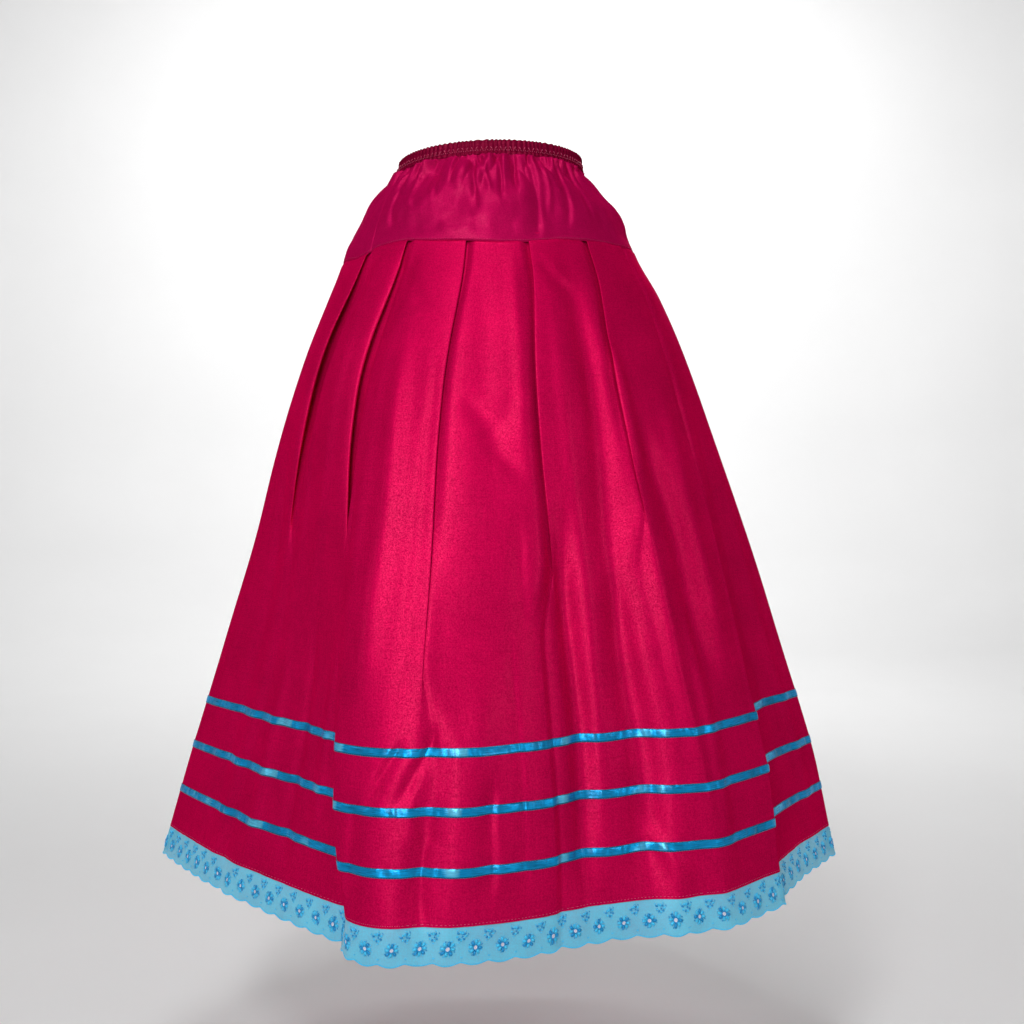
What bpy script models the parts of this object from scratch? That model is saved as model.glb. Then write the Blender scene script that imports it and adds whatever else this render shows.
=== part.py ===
"""A full knife-pleated dance skirt in its worn form, hollow, with a ruched waistband, a gathered hip yoke,
three ribbons and a scalloped lace edging.

Metres, +Z up, the front towards -Y. The origin is the middle of the waistband's ring. Angles are in degrees
round the skirt, 0 at the front and growing to the right as the front is seen. Each cloth piece is lofted as
an open sheet between plan sections, and Solidify gives it its wall.
"""

import bisect
import itertools
import math
from collections import namedtuple

import bmesh
import bpy
from mathutils import Vector

# Cloth and seams
CLOTH_WALL = 0.0011
RIBBON_WALL = 0.0010
LACE_WALL = 0.0010
SEAM_GAP = 0.0003
RIBBON_GAP = 0.0004

# Waistband
BAND_HEIGHT = 0.020
BAND_RUCHES = 112
BAND_INNER_OFFSET = -0.0012
BAND_OUTER_OFFSET = 0.0018
BAND_RUCHE_DEPTH = 0.0009
BAND_TOOTH = 0.0007

# Yoke
YOKE_GATHERS = 64
YOKE_SEAM_ANGLES = (-53.0, 127.0)
GATHER_DEPTH = 0.0024
GATHER_FADE = 0.22
YOKE_ROWS = (0.0, 0.15, 0.38, 0.68, 1.0)

# Skirt panels
HIP_OVERLAP = 0.048
ROOM_BEHIND_ONE = 0.68
ROOM_BEHIND_TWO = 0.44
HIP_LAYER_GAP = 0.0024
LOOSE_LAYER_GAP = 0.0075
OPEN_STEP = 0.026
MOUTH = 0.003
HIP_SHOULDER = 0.010
HEM_SHOULDER = 0.016
PANEL_STEPS = 2
# How deep the corners of a closed fold lie below its edge, in layer gaps, from the edge to the mouth
LAYER_DEPTHS = (0, 0.7, 1.3, 2.0, 2.0)
# The corners of an open fold, in shares of its step and of its depth, from the edge to the low point
OPEN_CORNERS = ((0, 0), (0.25, 0.35), (0.50, 0.75), (0.75, 1.0))
OPEN_SAG = 0.1
# A fold lies flat from the first of these overlaps down, and is fully closed from the second up
OVERLAP_OPEN, OVERLAP_CLOSED = -0.006, 0.004

# Ribbons and lace
RIBBON_WIDTH = 0.010
SCALLOPS = 96
SCALLOP_SAMPLES = 4
SCALLOP_DEPTH = 0.11

# Heights of the rows that go round the skirt, at the front
BAND_TOP = BAND_HEIGHT / 2
BAND_BOTTOM = -BAND_HEIGHT / 2
HIP = -0.140
RIBBONS = {"ribbon_upper": -0.745, "ribbon_middle": -0.806, "ribbon_lower": -0.867}
HEM = -0.920
LACE_END = -0.959
UPPER_ROWS = (HIP, -0.185, -0.285, -0.420, -0.590)

# The form that the cloth hangs round, by height: an ellipse in plan
Form = namedtuple("Form", "height half_width half_depth centre_x")
FORMS = (
    Form(0.020, 0.1255, 0.1005, 0.000),
    Form(-0.010, 0.1310, 0.1060, 0.000),
    Form(-0.031, 0.1465, 0.1200, 0.000),
    Form(-0.074, 0.1805, 0.1440, 0.000),
    Form(-0.117, 0.2000, 0.1640, 0.000),
    Form(-0.140, 0.2095, 0.1705, 0.001),
    Form(-0.188, 0.2329, 0.1910, 0.005),
    Form(-0.272, 0.2671, 0.2210, 0.007),
    Form(-0.398, 0.3085, 0.2620, 0.011),
    Form(-0.535, 0.3485, 0.3050, 0.018),
    Form(-0.669, 0.3890, 0.3440, 0.020),
    Form(-0.801, 0.4284, 0.3800, 0.020),
    Form(-0.905, 0.4549, 0.4050, 0.016),
    Form(-0.990, 0.4760, 0.4240, 0.014),
)

# How far a row stands above its front height: `lift` at both sides, and `tilt` more at the right and less at
# the left
Row = namedtuple("Row", "height lift tilt")
ROW_LINES = (
    Row(0.010, -0.0015, 0.0035),
    Row(-0.010, -0.0015, 0.0035),
    Row(-0.140, 0.0150, 0.0090),
    Row(-0.745, 0.0120, 0.0060),
    Row(-0.959, 0.0120, 0.0020),
)

# One row for each pleat. `facing` is 1 where the fold's edge looks to growing angles and -1 where it looks
# back. The next four are the edge's angle at PLEAT_HEIGHTS. `overlap` is what still lies double at the hem in
# millimetres, and below nothing where the pleat has opened. `top` and `shoulder` are how far the fold's edge
# and the cloth beyond its mouth stand out from the form at the hem, and `bow` the middle of the panel that
# follows, all in millimetres.
Pleat = namedtuple("Pleat", "facing hip waist_side knee hem overlap top shoulder bow")
PLEAT_HEIGHTS = (HIP, -0.330, -0.720, HEM)
PLEATS = (
    Pleat(1, -51.0, -61.0, -60.5, -61.0, -40, -44, -50, -12),
    Pleat(1, -31.0, -37.7, -29.6, -24.5, -2, -24, 16, 9),
    Pleat(1, -8.0, -12.4, -12.6, -12.0, -16, 24, 16, 0),
    Pleat(-1, 14.0, 10.4, 11.0, 12.0, -30, -32, -16, -13),
    Pleat(-1, 38.4, 31.8, 33.5, 35.0, -42, -9, -20, -4),
    Pleat(1, 60.4, 55.6, 52.6, 49.0, -3, -14, -34, -14),
    Pleat(1, 83.0, 80.0, 79.0, 80.0, -24, -4, -14, 2),
    Pleat(1, 105.0, 102.0, 101.0, 100.0, -10, -8, -36, -10),
    Pleat(1, 127.0, 125.0, 124.0, 126.0, -30, -20, -38, -4),
    Pleat(1, 149.0, 147.0, 146.0, 146.0, -6, 2, -24, 4),
    Pleat(1, 171.0, 170.0, 168.0, 167.0, -24, 8, -16, 0),
    Pleat(-1, 194.5, 195.0, 194.0, 193.0, -14, 4, -24, 6),
    Pleat(-1, 217.0, 218.0, 216.0, 215.0, -34, -10, -30, -12),
    Pleat(-1, 239.5, 240.0, 239.0, 240.0, -8, -14, -40, -8),
    Pleat(-1, 262.0, 260.5, 260.0, 261.0, -26, 2, -22, 4),
    Pleat(-1, 284.5, 280.5, 277.5, 277.0, -20, 2, -8, -8),
)
SEAM_PLEATS = (0, 8)

# How much of a pleat's hem offsets show at a height, from nothing to all
OFFSET_START, OFFSET_FULL = -0.22, -0.76
# The heights between which the layers of a pleat part
LAYERS_PRESSED, LAYERS_LOOSE = HIP, -0.36

Finish = namedtuple("Finish", "colour roughness")
FINISHES = {
    "pink_cloth": Finish((0.58, 0.003, 0.075), 0.42),
    "band_cloth": Finish((0.30, 0.003, 0.045), 0.60),
    "ribbon_satin": Finish((0.010, 0.27, 0.50), 0.25),
    "lace": Finish((0.18, 0.50, 0.68), 0.65),
}


def between(low, high, share):
    return low + (high - low) * share


def ease(share):
    """0 to 1, flat at both ends."""
    share = min(1.0, max(0.0, share))
    return share * share * (3 - 2 * share)


def through(keys, values, key):
    """A smooth curve through the values at the keys, which rise."""
    i = min(max(bisect.bisect_right(keys, key) - 1, 0), len(keys) - 2)
    span = keys[i + 1] - keys[i]
    share = (key - keys[i]) / span

    def slope(j):
        first, last = max(j - 1, 0), min(j + 1, len(keys) - 1)
        return (values[last] - values[first]) / (keys[last] - keys[first]) * span

    share = min(1.0, max(0.0, share))
    a, b = values[i], values[i + 1]
    steep = 3 * (b - a) - 2 * slope(i) - slope(i + 1)
    return a + share * (slope(i) + share * (steep + share * (slope(i) + slope(i + 1) - 2 * (b - a))))


def column(rows, name, height):
    """The named column of a table of rows at a height."""
    keys = [-row.height for row in rows]
    return through(keys, [getattr(row, name) for row in rows], -height)


def row_height(height, angle):
    """The height at an angle of the row that has this height at the front."""
    across = math.sin(math.radians(angle))
    lift, tilt = column(ROW_LINES, "lift", height), column(ROW_LINES, "tilt", height)
    return height + lift * across * across + tilt * across


def on_form(height, angle, offset):
    """The point that stands `offset` off the form, at an angle, on the row with this height at the front."""
    level = row_height(height, angle)
    wide, deep = column(FORMS, "half_width", level), column(FORMS, "half_depth", level)
    turn = math.radians(angle)
    outward = Vector((math.sin(turn) / wide, -math.cos(turn) / deep, 0)).normalized()
    foot = Vector((column(FORMS, "centre_x", level) + wide * math.sin(turn), -deep * math.cos(turn), level))
    return foot + offset * outward


def degrees_for(height, angle, length):
    """The angle that this length takes up round the form."""
    turn = math.radians(angle)
    wide, deep = column(FORMS, "half_width", height), column(FORMS, "half_depth", height)
    return math.degrees(length / math.hypot(wide * math.cos(turn), deep * math.sin(turn)))


def opened(height):
    """How far the cone has widened from the hip to the hem, 0 to 1."""
    width = column(FORMS, "half_width", height) + column(FORMS, "half_depth", height)
    hip = column(FORMS, "half_width", HIP) + column(FORMS, "half_depth", HIP)
    hem = column(FORMS, "half_width", HEM) + column(FORMS, "half_depth", HEM)
    return (width - hip) / (hem - hip)


def drape(height):
    """How much of the offsets at the hem shows at a height, 0 to 1."""
    return ease((height - OFFSET_START) / (OFFSET_FULL - OFFSET_START))


def pleat_angle(pleat, height):
    keys = [-level for level in PLEAT_HEIGHTS]
    return through(keys, [pleat.hip, pleat.waist_side, pleat.knee, pleat.hem], -height)


def room_behind(index, height):
    """How far the hidden layers of a pleat may reach before they meet those of the pleat behind it."""
    pleat = PLEATS[index]
    behind = PLEATS[(index - pleat.facing) % len(PLEATS)]
    angle = pleat_angle(pleat, height)
    apart = (angle - pleat_angle(behind, height)) * pleat.facing % 360
    share = ROOM_BEHIND_ONE if behind.facing == pleat.facing else ROOM_BEHIND_TWO
    return share * apart / degrees_for(height, angle - pleat.facing * apart / 2, 1)


def pleat_corners(index, height):
    """The fold's section as (length round the form, offset), in the order of growing angles."""
    pleat = PLEATS[index]
    shown = drape(height)
    loose = ease((height - LAYERS_PRESSED) / (LAYERS_LOOSE - LAYERS_PRESSED))
    gap = between(HIP_LAYER_GAP, LOOSE_LAYER_GAP, loose)
    overlap = min(between(HIP_OVERLAP, pleat.overlap / 1000, opened(height)), room_behind(index, height))
    top = pleat.top / 1000 * shown
    shoulder = pleat.shoulder / 1000 * shown
    reach = between(HIP_SHOULDER, HEM_SHOULDER, shown)
    folded = [
        (along, top - depth * gap)
        for along, depth in zip((0, 0, -overlap, -overlap, MOUTH), LAYER_DEPTHS)
    ]
    folded.append((reach, shoulder))
    step = max(OPEN_STEP, -overlap)
    low = min(top - gap, shoulder) if shoulder < top else between(top, shoulder, OPEN_SAG)
    flat = [(along * step, between(top, low, depth)) for along, depth in OPEN_CORNERS]
    flat += [(step, (low + shoulder) / 2), (step + reach, shoulder)]
    closed = ease((overlap - OVERLAP_OPEN) / (OVERLAP_CLOSED - OVERLAP_OPEN))
    corners = [
        (between(f[0], c[0], closed), between(f[1], c[1], closed)) for f, c in zip(flat, folded)
    ]
    if pleat.facing < 0:
        return [(-length, offset) for length, offset in reversed(corners)]
    return corners


CORNERS = 6
COLUMNS = CORNERS + PANEL_STEPS


def drop_under(fold, facing, far, bow):
    """Lower the hidden edge of a fold by what the panel over it falls away from the fold's top."""
    near = fold[0] if facing > 0 else fold[-1]
    share = max(0.0, (near[0] - fold[2][0]) / (near[0] - far[0]))
    drop = near[1] - between(near[1], far[1], share) - bow * 4 * share * (1 - share)
    for corner in (2, 3):
        fold[corner] = (fold[corner][0], fold[corner][1] - max(0.0, drop))


def ring(height):
    """The section of the pleated cloth as (angle, offset), COLUMNS of them for each pleat."""
    folds = []
    for index, pleat in enumerate(PLEATS):
        angle = pleat_angle(pleat, height)
        folds.append(
            [(angle + degrees_for(height, angle, length), offset)
             for length, offset in pleat_corners(index, height)]
        )
    bows = [pleat.bow / 1000 * drape(height) for pleat in PLEATS]
    first, last = folds[0][0], folds[-1][-1]
    befores = [(last[0] - 360, last[1])] + [fold[-1] for fold in folds[:-1]]
    afters = [fold[0] for fold in folds[1:]] + [(first[0] + 360, first[1])]
    points = []
    for index, pleat in enumerate(PLEATS):
        fold, after = folds[index], afters[index]
        if pleat.facing > 0:
            drop_under(fold, 1, befores[index], bows[index - 1])
        else:
            drop_under(fold, -1, after, bows[index])
        points += fold
        for step in range(1, PANEL_STEPS + 1):
            share = step / (PANEL_STEPS + 1)
            bow = bows[index] * 4 * share * (1 - share)
            points.append(
                (between(fold[-1][0], after[0], share), between(fold[-1][1], after[1], share) + bow)
            )
    return points


def cut_points(points, which):
    """The two sides of the seam in the innermost layer of a seam pleat, SEAM_GAP apart, and its column."""
    first = SEAM_PLEATS[which] * COLUMNS + 3
    a, b = Vector(points[first]), Vector(points[first + 1])
    middle = (a + b) / 2
    along = (b - a).normalized() * SEAM_GAP / 2
    return middle - along, middle + along, first


def half(points, which):
    """The points of one half of the skirt, from seam to seam: 0 is the front, 1 the back."""
    _, start, begin = cut_points(points, which)
    end, _, finish = cut_points(points, 1 - which)
    if which == 0:
        inner = points[begin + 1:finish + 1]
    else:
        inner = points[begin + 1:] + points[:finish + 1]
    return [start] + inner + [end]


def ring_points(height):
    return [on_form(height, angle, offset) for angle, offset in ring(height)]


def skirt_rows():
    rows = list(UPPER_ROWS)
    for height in RIBBONS.values():
        rows += [height + RIBBON_WIDTH / 2, height - RIBBON_WIDTH / 2]
    return rows + [HEM]


def sheet(name, rows, closed=False):
    """An open sheet lofted between rows of points with as many points each."""
    mesh = bmesh.new()
    grid = [[mesh.verts.new(point) for point in row] for row in rows]
    wide = len(grid[0])
    for upper, lower in itertools.pairwise(grid):
        for i in range(wide if closed else wide - 1):
            j = (i + 1) % wide
            mesh.faces.new((upper[i], lower[i], lower[j], upper[j]))
    data = bpy.data.meshes.new(name)
    mesh.to_mesh(data)
    mesh.free()
    data.shade_smooth()
    return bpy.data.objects.new(name, data)


def give_wall(obj, wall, outward=0.0):
    """Solidify to a wall whose middle stands `outward` off the sheet."""
    solid = obj.modifiers.new("Wall", "SOLIDIFY")
    solid.thickness = wall
    solid.offset = 2 * outward / wall
    solid.use_even_offset = True
    solid.use_quality_normals = True


def skirt_half(name, which):
    rows = []
    for height in skirt_rows():
        rows.append(half(ring_points(height), which))
    obj = sheet(name, rows)
    give_wall(obj, CLOTH_WALL)
    return obj


def ribbon(name):
    """A ribbon lies on the cloth's own points, moved out."""
    middle = RIBBONS[name]
    rows = [ring_points(middle + side * RIBBON_WIDTH / 2) for side in (1, -1)]
    obj = sheet(name, rows, closed=True)
    give_wall(obj, RIBBON_WALL, CLOTH_WALL / 2 + RIBBON_GAP + RIBBON_WALL / 2)
    return obj


def resampled(upper, lower, count):
    """`count` + 1 pairs of points at even lengths along the upper row, and at like places on the lower."""
    lengths = [0.0]
    for a, b in itertools.pairwise(upper):
        lengths.append(lengths[-1] + (b - a).length)
    pairs = []
    for k in range(count + 1):
        goal = lengths[-1] * k / count
        i = min(bisect.bisect_right(lengths, goal) - 1, len(upper) - 2)
        share = (goal - lengths[i]) / (lengths[i + 1] - lengths[i])
        pairs.append((upper[i].lerp(upper[i + 1], share), lower[i].lerp(lower[i + 1], share)))
    return pairs


def lace_half(name, which):
    """A straight upper edge just under the hem, and a scalloped lower edge."""
    upper = half(ring_points(HEM - SEAM_GAP), which)
    lower = half(ring_points(LACE_END), which)
    count = SCALLOPS // 2 * SCALLOP_SAMPLES
    top, bottom = [], []
    for k, (a, b) in enumerate(resampled(upper, lower, count)):
        lobe = abs(math.sin(math.pi * k / SCALLOP_SAMPLES))
        top.append(a)
        bottom.append(a.lerp(b, 1 - SCALLOP_DEPTH * (1 - lobe)))
    obj = sheet(name, [top, bottom])
    give_wall(obj, LACE_WALL)
    return obj


def yoke_half(name, which):
    """Gathered at the waistband, and smooth at the hip seam."""
    start = YOKE_SEAM_ANGLES[which]
    count = YOKE_GATHERS
    rows = []
    for share in YOKE_ROWS:
        height = between(BAND_BOTTOM - SEAM_GAP - CLOTH_WALL / 2, HIP + CLOTH_WALL / 2 + SEAM_GAP, share)
        inset = degrees_for(height, start, SEAM_GAP / 2)
        depth = GATHER_DEPTH * math.exp(-share / GATHER_FADE)
        row = []
        for k in range(count + 1):
            angle = start + 180 * k / count
            if k == 0:
                angle += inset
            if k == count:
                angle -= inset
            side = 1 if k % 2 else -1
            end = k in (0, count)
            row.append(on_form(height, angle, 0 if end else side * depth / 2))
        rows.append(row)
    obj = sheet(name, rows)
    give_wall(obj, CLOTH_WALL)
    return obj


def waistband(name):
    """A ruched casing: a plain inside, and an outside and an upper edge in small ridges."""
    rings = []
    for height, offset, ridge, tooth in (
        (BAND_TOP, BAND_INNER_OFFSET, 0, 1),
        (BAND_TOP, BAND_OUTER_OFFSET, 1, 1),
        (BAND_BOTTOM, BAND_OUTER_OFFSET, 1, 0),
        (BAND_BOTTOM, BAND_INNER_OFFSET, 0, 0),
    ):
        row = []
        for k in range(2 * BAND_RUCHES):
            side = 1 if k % 2 else -1
            angle = 180 * k / BAND_RUCHES
            point = on_form(height, angle, offset + side * ridge * BAND_RUCHE_DEPTH)
            point.z += side * tooth * BAND_TOOTH
            row.append(point)
        rings.append(row)
    rings.append(rings[0])
    mesh = bmesh.new()
    grid = [[mesh.verts.new(point) for point in row] for row in rings[:-1]]
    grid.append(grid[0])
    wide = len(grid[0])
    for upper, lower in itertools.pairwise(grid):
        for i in range(wide):
            j = (i + 1) % wide
            mesh.faces.new((upper[i], lower[i], lower[j], upper[j]))
    data = bpy.data.meshes.new(name)
    mesh.to_mesh(data)
    mesh.free()
    return bpy.data.objects.new(name, data)


def material(name):
    finish = FINISHES[name]
    made = bpy.data.materials.new(name)
    made.use_nodes = True
    shader = made.node_tree.nodes["Principled BSDF"]
    shader.inputs["Base Color"].default_value = (*finish.colour, 1)
    shader.inputs["Roughness"].default_value = finish.roughness
    shader.inputs["Metallic"].default_value = 0
    return made


def main():
    for obj in list(bpy.data.objects):
        bpy.data.objects.remove(obj, do_unlink=True)
    collection = bpy.data.collections.new("umbanda_skirt")
    bpy.context.scene.collection.children.link(collection)
    finishes = {name: material(name) for name in FINISHES}
    pieces = [
        (waistband("waistband"), "band_cloth"),
        (yoke_half("yoke_front", 0), "pink_cloth"),
        (yoke_half("yoke_back", 1), "pink_cloth"),
        (skirt_half("skirt_front", 0), "pink_cloth"),
        (skirt_half("skirt_back", 1), "pink_cloth"),
        (lace_half("lace_front", 0), "lace"),
        (lace_half("lace_back", 1), "lace"),
    ]
    pieces += [(ribbon(name), "ribbon_satin") for name in RIBBONS]
    for obj, finish in pieces:
        obj.data.materials.append(finishes[finish])
        collection.objects.link(obj)


main()
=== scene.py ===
"""Looks of a full knife-pleated dance skirt: ruched band, gathered yoke, pleats, satin ribbons and lace.

Metres, +Z up, the front towards -Y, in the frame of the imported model. Angles are in degrees round the skirt,
0 at the front and growing to the right as the front is seen. A sheet of cloth is a Patch: rows of points from
its top edge down. Stitches and embroidery are modelled flat and then laid on the patch that carries them.
"""

import bisect
import math
import random
from collections import namedtuple

import bmesh
import bpy
import numpy as np
from bpy.props import FloatProperty, FloatVectorProperty, IntProperty, PointerProperty
from mathutils import Matrix, Vector


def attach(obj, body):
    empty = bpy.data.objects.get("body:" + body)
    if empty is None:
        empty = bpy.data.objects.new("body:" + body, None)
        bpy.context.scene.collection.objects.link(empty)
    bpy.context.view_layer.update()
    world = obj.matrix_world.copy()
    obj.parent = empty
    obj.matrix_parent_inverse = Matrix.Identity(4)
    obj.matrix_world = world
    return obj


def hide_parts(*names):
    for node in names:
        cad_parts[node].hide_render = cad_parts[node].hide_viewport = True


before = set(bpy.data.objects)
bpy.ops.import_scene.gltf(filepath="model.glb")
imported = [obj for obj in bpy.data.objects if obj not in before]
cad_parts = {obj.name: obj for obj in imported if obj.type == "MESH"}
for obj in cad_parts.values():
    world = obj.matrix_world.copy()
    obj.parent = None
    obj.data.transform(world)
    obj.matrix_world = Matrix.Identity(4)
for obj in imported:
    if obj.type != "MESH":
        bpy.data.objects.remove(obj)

bl_info = {
    "name": "Pleated dance skirt",
    "version": (1, 0, 0),
    "blender": (4, 5, 0),
    "location": "View3D > Sidebar > Skirt",
    "description": "Builds the cloth, trims and stage of a knife-pleated dance skirt round its solids",
    "category": "Object",
}

BODY = "root"
SIDES = ("front", "back")

# Heights of the rows that go round the skirt, at the front
BAND_BOTTOM = -0.010
HIP = -0.140
RIBBON_HEIGHTS = {"ribbon_upper": -0.745, "ribbon_middle": -0.806, "ribbon_lower": -0.867}
HEM = -0.920
LACE_END = -0.959

# The form that the cloth hangs round, by height: an ellipse in plan
Form = namedtuple("Form", "height half_width half_depth centre_x")
FORMS = (
    Form(0.020, 0.1255, 0.1005, 0.000),
    Form(-0.010, 0.1310, 0.1060, 0.000),
    Form(-0.031, 0.1465, 0.1200, 0.000),
    Form(-0.074, 0.1805, 0.1440, 0.000),
    Form(-0.117, 0.2000, 0.1640, 0.000),
    Form(-0.140, 0.2095, 0.1705, 0.001),
    Form(-0.188, 0.2329, 0.1910, 0.005),
    Form(-0.272, 0.2671, 0.2210, 0.007),
    Form(-0.398, 0.3085, 0.2620, 0.011),
    Form(-0.535, 0.3485, 0.3050, 0.018),
    Form(-0.669, 0.3890, 0.3440, 0.020),
    Form(-0.801, 0.4284, 0.3800, 0.020),
    Form(-0.905, 0.4549, 0.4050, 0.016),
    Form(-0.990, 0.4760, 0.4240, 0.014),
)

# How far a row stands above its front height: `lift` at both sides, and `tilt` more at the right and less at
# the left
Row = namedtuple("Row", "height lift tilt")
ROW_LINES = (
    Row(0.010, -0.0015, 0.0035),
    Row(-0.010, -0.0015, 0.0035),
    Row(-0.140, 0.0150, 0.0090),
    Row(-0.745, 0.0120, 0.0060),
    Row(-0.959, 0.0120, 0.0020),
)

# One row for each pleat, as in the solids. `facing` is 1 where the fold's edge looks to growing angles and -1
# where it looks back. The next four are the edge's angle at PLEAT_HEIGHTS. `overlap` is what still lies
# double at the hem, below nothing where the pleat has opened. `top` and `shoulder` are how far the fold's
# edge and the cloth beyond its mouth stand out from the form at the hem, and `bow` the middle of the panel
# that follows. The last four are in millimetres.
Pleat = namedtuple("Pleat", "facing hip waist_side knee hem overlap top shoulder bow")
PLEAT_HEIGHTS = (HIP, -0.330, -0.720, HEM)
PLEATS = (
    Pleat(1, -51.0, -61.0, -60.5, -61.0, -40, -44, -50, -12),
    Pleat(1, -31.0, -37.7, -29.6, -24.5, -2, -24, 16, 9),
    Pleat(1, -8.0, -12.4, -12.6, -12.0, -16, 24, 16, 0),
    Pleat(-1, 14.0, 10.4, 11.0, 12.0, -30, -32, -16, -13),
    Pleat(-1, 38.4, 31.8, 33.5, 35.0, -42, -9, -20, -4),
    Pleat(1, 60.4, 55.6, 52.6, 49.0, -3, -14, -34, -14),
    Pleat(1, 83.0, 80.0, 79.0, 80.0, -24, -4, -14, 2),
    Pleat(1, 105.0, 102.0, 101.0, 100.0, -10, -8, -36, -10),
    Pleat(1, 127.0, 125.0, 124.0, 126.0, -30, -20, -38, -4),
    Pleat(1, 149.0, 147.0, 146.0, 146.0, -6, 2, -24, 4),
    Pleat(1, 171.0, 170.0, 168.0, 167.0, -24, 8, -16, 0),
    Pleat(-1, 194.5, 195.0, 194.0, 193.0, -14, 4, -24, 6),
    Pleat(-1, 217.0, 218.0, 216.0, 215.0, -34, -10, -30, -12),
    Pleat(-1, 239.5, 240.0, 239.0, 240.0, -8, -14, -40, -8),
    Pleat(-1, 262.0, 260.5, 260.0, 261.0, -26, 2, -22, 4),
    Pleat(-1, 284.5, 280.5, 277.5, 277.0, -20, 2, -8, -8),
)
# The pleats that hide the seams between the skirt's halves
SEAM_PLEATS = (0, 8)
# What lies double at the hip, and how much of the room behind it a fold may take where the one before
# faces the same way or the other way
HIP_OVERLAP = 0.048
ROOM_BEHIND_ONE, ROOM_BEHIND_TWO = 0.68, 0.44
# From one layer of a fold to the next, pressed and loose, and the heights between which they part
HIP_LAYER_GAP, LOOSE_LAYER_GAP = 0.0024, 0.0075
LAYERS_PRESSED, LAYERS_LOOSE = HIP, -0.36
# How far round an open fold and a closed fold's mouth and shoulder reach
OPEN_STEP = 0.026
MOUTH = 0.003
HIP_SHOULDER, HEM_SHOULDER = 0.010, 0.016
# How deep a closed fold's corners lie, in layer gaps, and an open fold's corners as shares of its step and
# depth
LAYER_DEPTHS = (0, 0.7, 1.3, 2.0, 2.0)
OPEN_CORNERS = ((0, 0), (0.25, 0.35), (0.50, 0.75), (0.75, 1.0))
OPEN_SAG = 0.1
# The overlaps between which a fold opens, and the heights between which the hem's offsets come in
OVERLAP_OPEN, OVERLAP_CLOSED = -0.006, 0.004
OFFSET_START, OFFSET_FULL = -0.22, -0.76

# For each fold: the trough beyond its mouth and how far the mouth gapes over the thighs, in millimetres, and
# how deep its layers lie, as a share of LOOSE_LAYER_GAP
Gape = namedtuple("Gape", "trough mouth layers")
GAPES = (
    Gape(6.0, 12, 0.80), Gape(5.0, 7, 0.70), Gape(0.4, 1, 0.35), Gape(0.6, 1, 0.40),
    Gape(1.2, 2, 0.45), Gape(1.0, 2, 0.45), Gape(3.5, 8, 0.70), Gape(2.0, 4, 0.60),
    Gape(4.0, 9, 0.80), Gape(1.5, 3, 0.50), Gape(3.5, 7, 0.70), Gape(2.0, 4, 0.50),
    Gape(4.0, 9, 0.80), Gape(1.5, 3, 0.50), Gape(3.5, 7, 0.70), Gape(3.0, 7, 0.70),
)
# How a pleat's section is sampled: points at each of its six corners, and over the panel that follows
CORNER_SAMPLES = (6, 4, 4, 4, 4, 6)
PANEL_POINTS = 8
PANEL_SAMPLES = 4
# How round the corners of a fold are, from the edge to the shoulder, pressed at the hip and loose below
PRESSED_ROUND = (0.0016, 0.0010, 0.0010, 0.0010, 0.0012, 0.008)
LOOSE_ROUND = (0.0060, 0.0030, 0.0030, 0.0030, 0.0030, 0.016)

# Soft creases laid in the pleated cloth: a line from one angle and height to another, its half width
# and its depth in millimetres, below nothing for a trough
Crease = namedtuple("Crease", "angle height end_angle end_height width depth")


def creases(*rows):
    return [Crease(*row) for row in rows]


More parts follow.
